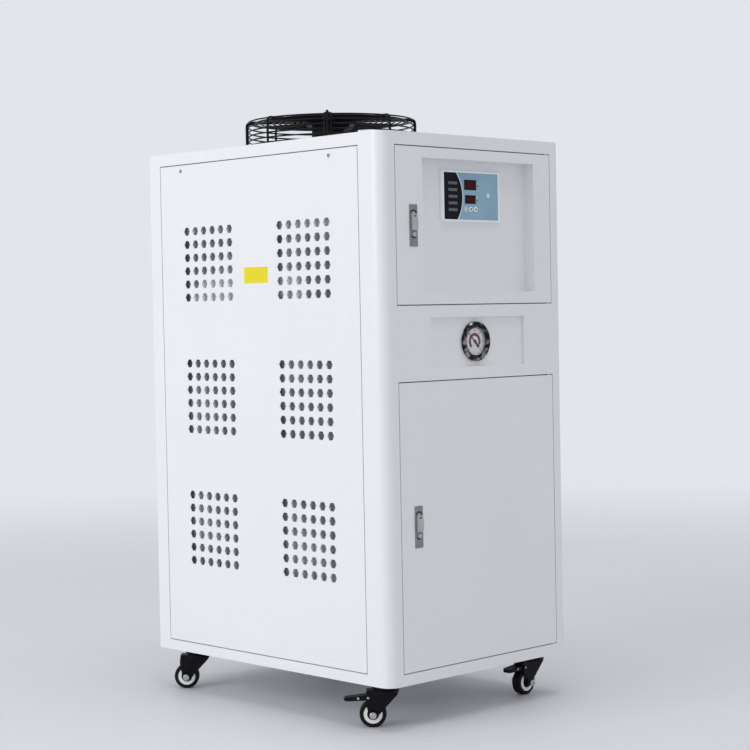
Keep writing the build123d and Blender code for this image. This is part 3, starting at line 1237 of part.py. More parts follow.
# Caster fork in its own frame: stem on Z, the wheel trails along +X
with BuildPart() as fork:
    with BuildSketch(Plane.XZ.offset(-CHEEK_OUT)):
        with BuildLine():
            CenterArc((TRAIL, WHEEL_Z), 9, 0, 360)
            crown_top = CROWN_LOW + CROWN_THICK
            Polyline((-24, crown_top), (36, crown_top), (38, 56), (-24, 64), close=True)
        make_hull()
    extrude(amount=2 * CHEEK_OUT)
    block((-40, 60), (-CHEEK_IN, CHEEK_IN), (0, CROWN_LOW), Mode.SUBTRACT)
    rod_z(0, 0, CROWN_LOW, CROWN_LOW + CROWN_THICK, 27)
    rod_z(0, 0, CROWN_LOW + CROWN_THICK, RACE_LOW - SEAT_GAP, 22)
    rod_z(0, 0, CROWN_LOW - CUT, RACE_LOW, KINGPIN / 2 + RUNNING_FIT, Mode.SUBTRACT)
    axle_hole = AXLE / 2 + RUNNING_FIT
    rod_y(TRAIL, WHEEL_Z, -CHEEK_OUT - CUT, CHEEK_OUT + CUT, axle_hole, Mode.SUBTRACT)
    pedal_hole = PEDAL_PIN / 2 + RUNNING_FIT
    rod_y(PEDAL_X, PEDAL_Z, -CHEEK_OUT - CUT, CHEEK_OUT + CUT, pedal_hole, Mode.SUBTRACT)

with BuildPart() as axle_bolt:
    rod_y(TRAIL, WHEEL_Z, -CHEEK_OUT - 2, CHEEK_OUT + 2, AXLE / 2)
    for side in (-1, 1):
        rod_y(TRAIL, WHEEL_Z, side * CHEEK_OUT, side * (CHEEK_OUT + 3), 7)

with BuildPart() as wheel:
    with BuildSketch(Plane.XY):
        with BuildLine():
            half_wide = WHEEL_WIDE / 2
            side_line = (
                (AXLE / 2 + RUNNING_FIT, half_wide + 0.4),
                (10, half_wide + 0.4),
                (10.6, half_wide - 1.2),
                (18.4, half_wide - 1.2),
                (19.4, half_wide),
                (WHEEL / 2 - 2.5, half_wide),
                (WHEEL / 2, half_wide - 2.5),
            )
            other_line = [(r, -y) for r, y in reversed(side_line)]
            Polyline(*side_line, *other_line, close=True)
        make_face()
    revolve(axis=Axis.Y)

with BuildPart() as pedal:
    pedal_half = CHEEK_IN - SEAT_GAP
    with BuildSketch(Plane.XZ.offset(-pedal_half)):
        with BuildLine():
            CenterArc((PEDAL_X, PEDAL_Z), 5.5, 0, 360)
            CenterArc((PEDAL_REACH - 3.5, 55), 3.5, 0, 360)
        make_hull()
    extrude(amount=2 * pedal_half)
    rod_y(PEDAL_X, PEDAL_Z, -CHEEK_OUT - 1.5, CHEEK_OUT + 1.5, PEDAL_PIN / 2)
    with BuildSketch(Plane.XY):
        tip_long = PEDAL_REACH - PEDAL_X + 2 * PEDAL_PIN
        with Locations((PEDAL_REACH - tip_long / 2, 0)):
            SlotOverall(tip_long, 2 * pedal_half)
        with Locations((PEDAL_X, 0)):
            Rectangle(2 * PEDAL_PIN, 2 * CHEEK_OUT + PEDAL_PIN)
    extrude(amount=BASE, mode=Mode.INTERSECT)

for name, x, y, heading in CASTERS:
    place = Location((x, y, 0), (0, 0, heading))
    fork_placed = Compound([fork.part.moved(place), axle_bolt.part.moved(place)])
    fork_placed.label = f"{name}_fork"
    export_step(fork_placed, f"parts/{name}_fork.step")
    wheel_placed = wheel.part.moved(place * Location((TRAIL, 0, WHEEL_Z)))
    wheel_placed.label = f"{name}_wheel"
    export_step(wheel_placed, f"parts/{name}_wheel.step")
    if name.startswith("front"):
        pedal_placed = pedal.part.moved(place)
        pedal_placed.label = f"{name}_brake_pedal"
        export_step(pedal_placed, f"parts/{name}_brake_pedal.step")
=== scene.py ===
"""Looks of an air-cooled water chiller: a white sheet-metal cabinet on casters with a fan on its roof."""
import json
import math

import bmesh
import bpy
from mathutils import Matrix, Vector


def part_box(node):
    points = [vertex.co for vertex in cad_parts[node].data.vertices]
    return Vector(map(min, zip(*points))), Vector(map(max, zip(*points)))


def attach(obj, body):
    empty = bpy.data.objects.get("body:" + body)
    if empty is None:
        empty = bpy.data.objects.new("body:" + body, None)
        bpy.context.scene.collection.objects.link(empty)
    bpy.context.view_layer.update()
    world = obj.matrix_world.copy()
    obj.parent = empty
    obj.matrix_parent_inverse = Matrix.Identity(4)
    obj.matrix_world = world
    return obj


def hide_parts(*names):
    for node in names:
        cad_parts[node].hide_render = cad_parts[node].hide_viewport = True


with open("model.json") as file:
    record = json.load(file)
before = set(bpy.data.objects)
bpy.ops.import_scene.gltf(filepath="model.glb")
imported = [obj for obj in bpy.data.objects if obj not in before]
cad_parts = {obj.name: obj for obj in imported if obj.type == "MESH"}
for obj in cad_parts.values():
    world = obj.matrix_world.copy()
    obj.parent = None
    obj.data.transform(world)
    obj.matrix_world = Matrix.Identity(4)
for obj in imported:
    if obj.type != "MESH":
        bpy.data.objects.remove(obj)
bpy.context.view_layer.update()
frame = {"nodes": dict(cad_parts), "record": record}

MM = 0.001

# Camera of the photograph, found from the cabinet's corners
CAMERA_AT = (-2.6921, -2.85195, 0.7966)
CAMERA_TURN = math.radians(-44.08)
CAMERA_RISE = math.radians(1.94)
CAMERA_ROLL = math.radians(-1.10)
CAMERA_LENS = 89.4

# Pale wall, and the distances from the cabinet between which the floor fades into it
WALL_COLOUR = "#E2E5EC"
FLOOR_FADE = (0.9, 5.0)

# Fan guard
SIDE_WIRE = 3.2 * MM
ARM_ROD = 6 * MM
SINGLE_ROD = 5 * MM
ARM_PAIR = 11 * MM
ARM_BITE = 1.5 * MM
ARM_BEND = 9 * MM
ARM_INNER = 38 * MM
GUARD_R = 175.5 * MM
SIDE_RINGS = 7
SIDE_PITCH = 10 * MM
TOP_RING_FIRST = 60 * MM
TOP_RING_PITCH = 12.5 * MM
TOP_RINGS = 9
FOOT_BEND = 3.5 * MM

# Controller face, with places measured from its middle
NAVY_R = 72 * MM
NAVY_CENTRE = (-97.5 * MM, -1.8 * MM)
ARC_WIDE = 3 * MM
FILM = 0.12 * MM
BAR_LEFT, BAR_RIGHT = -65 * MM, -40 * MM
BAR_HIGH = 5.5 * MM
BAR_PITCH = 13 * MM
LAMP_AT = (49 * MM, 3 * MM)
LAMP_R = 4 * MM
DISPLAYS = ((-2.5 * MM, 22.5 * MM, 33 * MM, 17 * MM), (-2.5 * MM, -6 * MM, 29 * MM, 14 * MM))
DIGITS = 4
FRAME_SIDE, FRAME_TOP = 1.1 * MM, 1.5 * MM
DOT_FROM_DISPLAY = 5.5 * MM
DOT_R = 1.5 * MM
BUTTON_MARK = 3.3 * MM

# Gauge dial, its scale running from half past seven to half past four
SCALE_START = math.radians(225)
SCALE_SWEEP = math.radians(270)
SCALE_TOP = 30
SCALE_STEP = 5
TICK_OUTER = 26.8 * MM
TICK_LONG, TICK_SHORT = 2.6 * MM, 1.5 * MM
TICK_WIDE = 0.55 * MM
NUMBER_R = 21.4 * MM
NUMBER_HIGH = 4 * MM
BAND_R, BAND_WIDE = 13.8 * MM, 6 * MM
BAND_START, BAND_END = math.radians(228), math.radians(-26)
TAIL_FROM, TAIL_TO, TAIL_R = 3 * MM, 12.5 * MM, 3.2 * MM

# Side panel screws, from the panel's edges, with the size of the painted shade in their cross recesses, and
# the blank yellow label, from the cabinet's middle
SCREW_FROM_FRONT, SCREW_FROM_REAR = 78.5 * MM, 68.7 * MM
SCREW_FROM_TOP = 12 * MM
RECESS_SHADE_LONG, RECESS_SHADE_WIDE = 4.4 * MM, 0.9 * MM
LABEL_YS = (-27 * MM, 46 * MM)
LABEL_ZS = (773 * MM, 805 * MM)

# Caster wheels, their bolts and the rivets of the brake pedals
DISC_INNER, DISC_OUTER = 11.6 * MM, 18.2 * MM
BOLT_R = 6.6 * MM
RIVET_R, RIVET_HIGH = 2.2 * MM, 0.9 * MM
RIVET_OUT, RIVET_DOWN = 19 * MM, 1.4 * MM

# Painted shade on the lock plates, as thin black sectors: round the spindle's top and under the button
SPINDLE_SHADE = (8.9 * MM, 2.6 * MM, math.radians(22), math.radians(158))
BUTTON_SHADE = (6.1 * MM, 2.4 * MM, math.radians(200), math.radians(340))

# Ties that hold the motor lead to its two rods, from the roof
TIE_HEIGHTS = (20 * MM, 50 * MM)
TIE_HIGH = 6 * MM
TIE_THICK = 1.8 * MM

# Rows of holes where the filter gets the most painted light: the first row and the last two of the upper
# fields, from the panel's middle
PAINTED_LIGHT_ROW, PAINTED_LIGHT_ROW_REACH = 361.75 * MM, 12 * MM
PAINTED_LIGHT_PAIR, PAINTED_LIGHT_PAIR_REACH = 238 * MM, 27 * MM

# Electrical parts, measured from the plate, the upper rail and the terminal strip
UPPER_RAIL_DOWN, STRIP_UP = 38 * MM, 22 * MM
CONTACTORS, CONTACTOR_DEEP, COVER_DEEP = (-130 * MM, -70 * MM), 75 * MM, 82 * MM
RELAY_AT, RELAY_DEEP = 30 * MM, 60 * MM
STRIP_DEEP, SLOT_DEEP = 45 * MM, 3 * MM
TERMINALS, TERMINAL_PITCH = 18, 12 * MM
SCREW_ROW = 29 * MM

# Pump barrel and its fan cover, and the compressor's shell
PUMP_RIBS, RIB_HIGH, RIB_THICK = 28, 3.5 * MM, 1.6 * MM
BARREL_R, BARREL_LONG = 54 * MM, 130 * MM
COVER_LONG = 12 * MM
FOOT_TO_AXIS = 78 * MM
SHELL_R = 85 * MM
COMPRESSOR_AT = (-110 * MM, -150 * MM)


# Share of the usual reflection that dull blacks and films keep
DULL = 0.12


def linear(hex_colour):
    """Linear RGBA of an sRGB hex colour."""
    channels = [int(hex_colour[i : i + 2], 16) / 255 for i in (1, 3, 5)]
    return (*[c / 12.92 if c <= 0.04045 else ((c + 0.055) / 1.055) ** 2.4 for c in channels], 1)


def add_node(material, kind, inputs, **settings):
    """Adds a node with its settings, its inputs being values or the outputs of other nodes."""
    tree = material.node_tree
    made = tree.nodes.new("ShaderNode" + kind)
    for name, value in settings.items():
        setattr(made, name, value)
    for socket, value in inputs.items():
        if isinstance(value, bpy.types.NodeSocket):
            tree.links.new(value, made.inputs[socket])
        else:
            made.inputs[socket].default_value = value
    return made


def new_finish(name, **shader_values):
    """New material, its shader, and the coordinates of the piece it is on."""
    material = bpy.data.materials.new(name)
    material.use_nodes = True
    shader = material.node_tree.nodes["Principled BSDF"]
    for socket, value in shader_values.items():
        shader.inputs[socket.replace("_", " ")].default_value = value
    place = add_node(material, "TexCoord", {})
    return material, shader, place.outputs["Object"]


def grained(name, light, dark, gloss, patch, grain, depth, **shader_values):
    """Material whose tint and gloss drift in patches and whose surface has a fine grain, sizes in metres."""
    material, shader, place = new_finish(name, **shader_values)
    links = material.node_tree.links
    drift = add_node(material, "TexNoise", {"Vector": place, "Scale": 1 / patch, "Detail": 4})
    tints = {0: drift.outputs["Fac"], 6: linear(light), 7: linear(dark)}
    tint = add_node(material, "Mix", tints, data_type="RGBA")
    links.new(tint.outputs[2], shader.inputs["Base Color"])
    speck = add_node(material, "TexNoise", {"Vector": place, "Scale": 1 / grain, "Detail": 2})
    reach = {"Value": drift.outputs["Fac"], "To Min": gloss[0], "To Max": gloss[1]}
    polish = add_node(material, "MapRange", reach)
    links.new(polish.outputs[0], shader.inputs["Roughness"])
    relief = add_node(material, "Bump", {"Height": speck.outputs["Fac"], "Distance": depth, "Strength": 1})
    links.new(relief.outputs[0], shader.inputs["Normal"])
    return material


def dull(*look):
    """Grained material that reflects little."""
    return grained(*look, Specular_IOR_Level=DULL)


def powder_coat():
    """Powder-coated sheet steel: near white, with a faint orange peel that softens what it reflects."""
    look = ("#F1F2F4", "#EBEDF0", (0.32, 0.40), 260 * MM, 2.5 * MM, 0.02 * MM)
    return grained("powder_coated_steel", *look, Coat_Weight=0.1)


def filter_weave():
    """Woven nylon filter: grey threads crossing with dark gaps, made paler by painted light in random spots
    and in some rows of holes.
    """
    material, shader, place = new_finish("woven_nylon_filter", Roughness=0.8)
    links = material.node_tree.links
    thread = 2.2 * MM
    # The real mesh has 1 mm threads: they are drawn at twice that, to show in the picture
    waves = [
        add_node(
            material,
            "TexWave",
            {"Vector": place, "Scale": 1 / thread / 3.14, "Distortion": 0.4, "Detail": 1, "Detail Scale": 3},
            bands_direction=way,
        )
        for way in ("Y", "Z")
    ]
    cross = add_node(
        material, "Math", {0: waves[0].outputs["Fac"], 1: waves[1].outputs["Fac"]}, operation="MAXIMUM"
    )
    # Painted light: noise that places pale lit spots on the filter
    patches = add_node(material, "TexNoise", {"Vector": place, "Scale": 1 / (130 * MM), "Detail": 1})
    panel_low, panel_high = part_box("left_panel")
    middle = (panel_low.z + panel_high.z) / 2
    height = add_node(material, "SeparateXYZ", {"Vector": place}).outputs["Z"]
    painted_light_shares = []
    for centre, reach, least, most, share in (
        (middle, 1, 0.50, 0.60, 0.3),
        (middle + PAINTED_LIGHT_ROW, PAINTED_LIGHT_ROW_REACH, 0.25, 0.45, 0.7),
        (middle + PAINTED_LIGHT_PAIR, PAINTED_LIGHT_PAIR_REACH, 0.44, 0.50, 1),
    ):
        row = add_node(material, "Math", {0: height, 1: centre, 2: reach}, operation="COMPARE")
        part = add_node(
            material,
            "MapRange",
            {"Value": patches.outputs["Fac"], "From Min": least, "From Max": most, "To Max": share},
        )
        painted_light_shares.append(
            add_node(material, "Math", {0: row.outputs[0], 1: part.outputs[0]}, operation="MULTIPLY")
        )
    behind = painted_light_shares[0]
    for other in painted_light_shares[1:]:
        behind = add_node(
            material, "Math", {0: behind.outputs[0], 1: other.outputs[0]}, operation="MAXIMUM"
        )
    # Painted light: gap and threads take paler, lit colours where behind is high
    gap = add_node(
        material, "Mix", {0: behind.outputs[0], 6: linear("#7A7D83"), 7: linear("#F2F3F5")}, data_type="RGBA"
    )
    threads = add_node(
        material, "Mix", {0: behind.outputs[0], 6: linear("#BCBFC4"), 7: linear("#FFFFFF")}, data_type="RGBA"
    )
    cloth = add_node(
        material, "Mix", {0: cross.outputs[0], 6: gap.outputs[2], 7: threads.outputs[2]}, data_type="RGBA"
    )
    links.new(cloth.outputs[2], shader.inputs["Base Color"])
    relief = add_node(material, "Bump", {"Height": cross.outputs[0], "Distance": 0.4 * MM, "Strength": 1})
    links.new(relief.outputs[0], shader.inputs["Normal"])
    return material


def bright_zinc():
    """Zinc-plated steel: cool grey metal with cloudy patches in its shine."""
    return grained(
        "zinc_plated_steel", "#C9CCD0", "#A9ADB3", (0.22, 0.38), 4 * MM, 0.8 * MM, 0.01 * MM, Metallic=1.0
    )


def white_abs():
    """Moulded ABS: warm white, satin, with a fine spark-eroded texture."""
    return grained("moulded_white_abs", "#FDFDFF", "#F6F6FA", (0.38, 0.46), 60 * MM, 0.9 * MM, 0.02 * MM)


def printed_film():
    """Printed polycarbonate film: blue grey, paler in places, with an anti-glare face."""
    return dull("printed_polycarbonate", "#A0C2D0", "#86ABCA", (0.3, 0.38), 60 * MM, 0.6 * MM, 0.008 * MM)


def navy_ink():
    """Dark navy ink under the same film."""
    return dull("navy_ink", "#0A0E1E", "#050812", (0.3, 0.38), 30 * MM, 0.6 * MM, 0.006 * MM)


def pale_ink():
    """Pale blue ink line at the edge of the navy field."""
    return grained("pale_ink", "#CADCE8", "#BBD2E2", (0.3, 0.4), 20 * MM, 0.6 * MM, 0.006 * MM)


def grey_ink():
    """Grey printed bars beside the signal lamps."""
    return grained("grey_ink", "#6A6F79", "#42464F", (0.35, 0.45), 3 * MM, 0.8 * MM, 0.006 * MM)


def smoked_red():
    """Smoked red acrylic display window: nearly black with a red depth."""
    return dull("smoked_red_acrylic", "#380709", "#1E0507", (0.1, 0.16), 12 * MM, 1 * MM, 0.004 * MM)


def unlit_segments():
    """Unlit display segments: a little paler and redder than the window over them."""
    return dull("unlit_segments", "#721416", "#560E10", (0.4, 0.5), 4 * MM, 1 * MM, 0.004 * MM)


def lamp_lens():
    """Small moulded lens: pale green yellow, glossy and slightly translucent."""
    material = grained("lamp_lens", "#EDF8E0", "#DEEFD0", (0.12, 0.2), 4 * MM, 1 * MM, 0.004 * MM)
    material.node_tree.nodes["Principled BSDF"].inputs["Subsurface Weight"].default_value = 0.3
    material.node_tree.nodes["Principled BSDF"].inputs["Subsurface Scale"].default_value = 2 * MM
    return material


def chromed_steel():
    """Chromed steel ring: a dark mirror, with painted reflections of the room's windows as bright spots in
    its base colour.
    """
    material, shader, place = new_finish("chromed_steel", Metallic=1.0, Roughness=0.22)
    # Painted reflection: noise that puts bright window spots into the base colour
    room = add_node(material, "TexNoise", {"Vector": place, "Scale": 1 / (13 * MM), "Detail": 1.5})
    spread = {"Value": room.outputs["Fac"], "From Min": 0.50, "From Max": 0.68}
    windows = add_node(material, "MapRange", spread)
    tint = add_node(
        material, "Mix", {0: windows.outputs[0], 6: linear("#222222"), 7: linear("#9C9C97")}, data_type="RGBA"
    )
    material.node_tree.links.new(tint.outputs[2], shader.inputs["Base Color"])
    return material


def black_case():
    """Black stoved enamel on steel: deep and satin with a slight ripple."""
    return dull("black_stoved_enamel", "#131313", "#0B0B0C", (0.3, 0.4), 20 * MM, 1.5 * MM, 0.01 * MM)


def dial_enamel():
    """White enamelled dial: cool white, smooth and a little glossy."""
    return grained("white_enamelled_dial", "#FDFDFF", "#F4F5FC", (0.3, 0.38), 18 * MM, 0.8 * MM, 0.003 * MM)


def dial_black():
    """Black screen-printed ink and the black pointer."""
    return dull("black_screen_ink", "#131218", "#0A090D", (0.4, 0.5), 6 * MM, 0.6 * MM, 0.003 * MM)


def dial_red():
    """Red screen-printed ink of the scale's band."""
    return grained("red_screen_ink", "#98160E", "#7A1018", (0.4, 0.5), 8 * MM, 0.6 * MM, 0.003 * MM)


def gauge_glass():
    """Clear flat glass: lets the dial through and adds a sheen at a flat angle."""
    material, shader, place = new_finish(
        "clear_glass", Roughness=0.02, Transmission_Weight=1.0, Base_Color=linear("#FFFFFF"), IOR=1.3
    )
    smear = add_node(material, "TexNoise", {"Vector": place, "Scale": 1 / (9 * MM), "Detail": 3})
    polish = add_node(material, "MapRange", {"Value": smear.outputs["Fac"], "To Min": 0.0, "To Max": 0.05})
    material.node_tree.links.new(polish.outputs[0], shader.inputs["Roughness"])
    return material


def die_cast_zinc():
    """Satin die-cast zinc under grey paint: mid grey with a soft metal shine."""
    return grained(
        "satin_die_cast_zinc", "#C2C4C4", "#AEB0B1", (0.32, 0.44), 12 * MM, 0.7 * MM, 0.02 * MM, Metallic=0.35
    )


def dark_zinc():
    """Darker grey of the lock's plate, in shade and duller than its lever."""
    return grained(
        "dull_die_cast_zinc", "#96999B", "#7E8184", (0.42, 0.52), 12 * MM, 0.7 * MM, 0.02 * MM, Metallic=0.3
    )


def black_wire():
    """Black powder coat on steel wire: satin, with the coat pooled in faint drops."""
    return dull("black_coated_wire", "#17181B", "#0C0D0F", (0.28, 0.4), 25 * MM, 2.2 * MM, 0.06 * MM)


def black_motor():
    """Black enamel on steel castings: satin with a coarse grain from the mould."""
    return dull("black_enamel_castings", "#1B1C1F", "#101113", (0.36, 0.5), 30 * MM, 1.6 * MM, 0.06 * MM)


def galvanised_sheet():
    """Galvanised sheet: grey metal with zinc spangle in paler and darker crystals."""
    material, shader, place = new_finish("galvanised_sheet", Metallic=0.9)
    links = material.node_tree.links
    spangle = add_node(material, "TexVoronoi", {"Vector": place, "Scale": 1 / (14 * MM)})
    crystals = add_node(material, "SeparateColor", {"Color": spangle.outputs["Color"]})
    tints = {0: crystals.outputs[0], 6: linear("#A6ABB0"), 7: linear("#BFC3C7")}
    tint = add_node(material, "Mix", tints, data_type="RGBA")
    links.new(tint.outputs[2], shader.inputs["Base Color"])
    polish = add_node(material, "MapRange", {"Value": crystals.outputs[1], "To Min": 0.34, "To Max": 0.52})
    links.new(polish.outputs[0], shader.inputs["Roughness"])
    return material


def fin_block():
    """Aluminium fins pressed close together: bright fin edges, with painted shade in the dark gaps between
    them.
    """
    material, shader, place = new_finish("aluminium_fins", Metallic=0.8, Roughness=0.4)
    links = material.node_tree.links
    # The real fins stand 2 mm apart: they are drawn at 4 mm, to show in the picture
    fin_and_shade_bands = add_node(material, "TexWave", {"Vector": place, "Scale": 1 / (4 * MM) / 3.14}, bands_direction="X")
    # Painted shade: the dark band of each stripe stands for the shade between the fins
    tints = {0: fin_and_shade_bands.outputs["Fac"], 6: linear("#3A3D40"), 7: linear("#C3C7CB")}
    tint = add_node(material, "Mix", tints, data_type="RGBA")
    links.new(tint.outputs[2], shader.inputs["Base Color"])
    relief = add_node(material, "Bump", {"Height": fin_and_shade_bands.outputs["Fac"], "Distance": 1.5 * MM, "Strength": 1})
    links.new(relief.outputs[0], shader.inputs["Normal"])
    return material


def contactor_plastic():
    """Moulded light grey thermoplastic of contactors and terminals."""
    return grained("grey_thermoplastic", "#C9CAC6", "#BDBEBA", (0.45, 0.55), 30 * MM, 1 * MM, 0.02 * MM)


def tank_polyethylene():
    """Rotation-moulded polyethylene: milky, waxy, with a soft orange peel."""
    look = ("#ECEDE9", "#E2E4E0", (0.4, 0.5), 80 * MM, 4 * MM, 0.12 * MM)
    material = grained("rotomoulded_polyethylene", *look)
    material.node_tree.nodes["Principled BSDF"].inputs["Subsurface Weight"].default_value = 0.15
    material.node_tree.nodes["Principled BSDF"].inputs["Subsurface Scale"].default_value = 4 * MM
    return material


def pump_enamel():
    """Blue enamel on cast iron: glossy over a sandy casting."""
    return grained("blue_enamel_cast_iron", "#2F4E74", "#27425F", (0.28, 0.4), 40 * MM, 2.4 * MM, 0.12 * MM)


def turned_brass():
    """Turned brass: warm yellow metal with fine tool marks."""
    look = ("#CDB06A", "#B3934E", (0.22, 0.34), 10 * MM, 0.8 * MM, 0.015 * MM)
    return grained("turned_brass", *look, Metallic=1.0)


def insulated_pipe():
    """Foam-insulated water pipe: dull dark grey with small pores."""
    return grained("foam_pipe_insulation", "#34383D", "#25282C", (0.75, 0.9), 30 * MM, 1.5 * MM, 0.15 * MM)


def drawn_copper():
    """Drawn copper pipe: warm pink metal, browner where it was handled or brazed."""
    look = ("#D08D68", "#A9653F", (0.2, 0.36), 45 * MM, 1.2 * MM, 0.01 * MM)
    return grained("drawn_copper", *look, Metallic=1.0)


def black_nylon():
    """Moulded black nylon: satin black."""
    return dull("black_nylon", "#17171A", "#0E0E10", (0.42, 0.52), 15 * MM, 0.9 * MM, 0.02 * MM)


def rubber_sheath():
    """Black rubber sheath: matt, with a faint dusty bloom."""
    return dull("black_rubber_sheath", "#18181A", "#0D0D0E", (0.55, 0.7), 25 * MM, 0.8 * MM, 0.03 * MM)


def pressed_black():
    """Black e-coat on pressed steel: satin and slightly uneven."""
    return dull("black_coated_steel", "#141417", "#0A0A0C", (0.3, 0.42), 18 * MM, 1.4 * MM, 0.03 * MM)


def wheel_tread():
    """Black polyurethane tread: satin, dull with dust where it has rolled."""
    return dull("polyurethane_tread", "#1D1E21", "#101113", (0.4, 0.6), 12 * MM, 1 * MM, 0.04 * MM)


def wheel_white():
    """White nylon face of the wheel: clean and satin."""
    return grained("white_nylon", "#FFFFFF", "#F8F8F8", (0.35, 0.45), 10 * MM, 0.8 * MM, 0.01 * MM)


def yellow_vinyl():
    """Yellow vinyl label, left blank: slightly glossy and a little uneven where it was pressed on."""
    return grained("yellow_vinyl", "#F3E312", "#E5D30E", (0.34, 0.44), 14 * MM, 3 * MM, 0.05 * MM)


FINISHES = {
    "cabinet_paint": powder_coat(),
    "filter_mesh": filter_weave(),
    "zinc_screw": bright_zinc(),
    "white_abs": white_abs(),
    "printed_face": printed_film(),
    "smoked_window": smoked_red(),
    "black_gauge_case": black_case(),
    "chrome": chromed_steel(),
    "gauge_dial": dial_enamel(),
    "gauge_needle": dial_black(),
    "gauge_glass": gauge_glass(),
    "lock_zinc": die_cast_zinc(),
    "black_wire": black_wire(),
    "black_motor": black_motor(),
    "galvanised": galvanised_sheet(),
    "coil_fins": fin_block(),
    "electrical": contactor_plastic(),
    "tank_plastic": tank_polyethylene(),
    "pump_paint": pump_enamel(),
    "brass_fitting": turned_brass(),
    "water_hose": insulated_pipe(),
    "copper": drawn_copper(),
    "black_nylon": black_nylon(),
    "lead_rubber": rubber_sheath(),
    "black_steel": pressed_black(),
    "caster_wheel": wheel_tread(),
}
for row in frame["record"]["subparts"]:
    surfaces = frame["nodes"][row["node"]].data.materials
    surfaces.clear()
    surfaces.append(FINISHES[row["material_slot"]])
for prefix in ("upper", "lower"):
    frame["nodes"][f"{prefix}_lock_body"].data.materials[0] = dark_zinc()


def turned(bm, profile, place, steps=48):
    """Turned shape: radius and height pairs carried round the place's own Z."""
    old = set(bm.verts)
    points = [bm.verts.new((radius, 0, height)) for radius, height in profile]
    lines = [bm.edges.new(pair) for pair in zip(points, points[1:])]
    bmesh.ops.spin(
        bm, geom=points + lines, cent=(0, 0, 0), axis=(0, 0, 1), angle=math.tau, steps=steps, use_merge=True
    )
    bmesh.ops.transform(bm, matrix=place, verts=[v for v in bm.verts if v not in old])


def block(bm, low, high, place=None, rounding=0):
    """Box between two corners, its edges rounded, then moved to its place."""
    low, high = Vector(low), Vector(high)
    size = Matrix.Translation((low + high) / 2) @ Matrix.Diagonal((*(high - low), 1))
    old = set(bm.verts)
    made = bmesh.ops.create_cube(bm, size=1, matrix=size)
    if rounding:
        edges = list(dict.fromkeys(edge for vert in made["verts"] for edge in vert.link_edges))
        bmesh.ops.bevel(
            bm, geom=edges, offset=rounding, segments=2, profile=0.5, affect="EDGES", material=-1
        )
    if place:
        bmesh.ops.transform(bm, matrix=place, verts=[v for v in bm.verts if v not in old])


def rod(bm, start, along, radius, moves, sides=12):
    """Round rod from a start: each move is a straight run, or a bend's centre, axis and angle."""
    facing = Vector(along).to_track_quat("Z", "Y").to_matrix().to_4x4()
    made = bmesh.ops.create_circle(
        bm, cap_ends=True, radius=radius, segments=sides, matrix=Matrix.Translation(start) @ facing
    )
    end = list(dict.fromkeys(edge for vert in made["verts"] for edge in vert.link_edges))
    for move in moves:
        if isinstance(move, Vector):
            grown = bmesh.ops.extrude_edge_only(bm, edges=end)["geom"]
            points = [item for item in grown if isinstance(item, bmesh.types.BMVert)]
            bmesh.ops.translate(bm, vec=move, verts=points)
            end = [item for item in grown if isinstance(item, bmesh.types.BMEdge)]
            end = [edge for edge in end if all(vert in points for vert in edge.verts)]
        else:
            centre, axis, angle = move
            geometry = end + list(dict.fromkeys(vert for edge in end for vert in edge.verts))
            turned_end = bmesh.ops.spin(bm, geom=geometry, cent=centre, axis=axis, angle=angle, steps=6)
            end = [item for item in turned_end["geom_last"] if isinstance(item, bmesh.types.BMEdge)]
    bmesh.ops.holes_fill(bm, edges=end, sides=sides)


def finished(name, bm, body, material, crease=35):
    """Closes a bmesh into a piece that rides on a body and takes the finish it is given."""
    bmesh.ops.remove_doubles(bm, verts=bm.verts, dist=0.002 * MM)
    bmesh.ops.recalc_face_normals(bm, faces=bm.faces)
    mesh = bpy.data.meshes.new(name)
    bm.to_mesh(mesh)
    bm.free()
    mesh.shade_smooth()
    mesh.set_sharp_from_angle(angle=math.radians(crease))
    mesh.materials.append(material)
    made = bpy.data.objects.new(name, mesh)
    bpy.context.scene.collection.objects.link(made)
    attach(made, body)
    return made


def box_centre(node):
    """Middle of a CAD node's box."""
    low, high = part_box(node)
    return (low + high) / 2


def facing_front(centre):
    """Place whose Z points out of the cabinet's front, X to the right and Y up."""
    return Matrix.Translation(centre) @ Matrix.Rotation(math.radians(90), 4, "X")


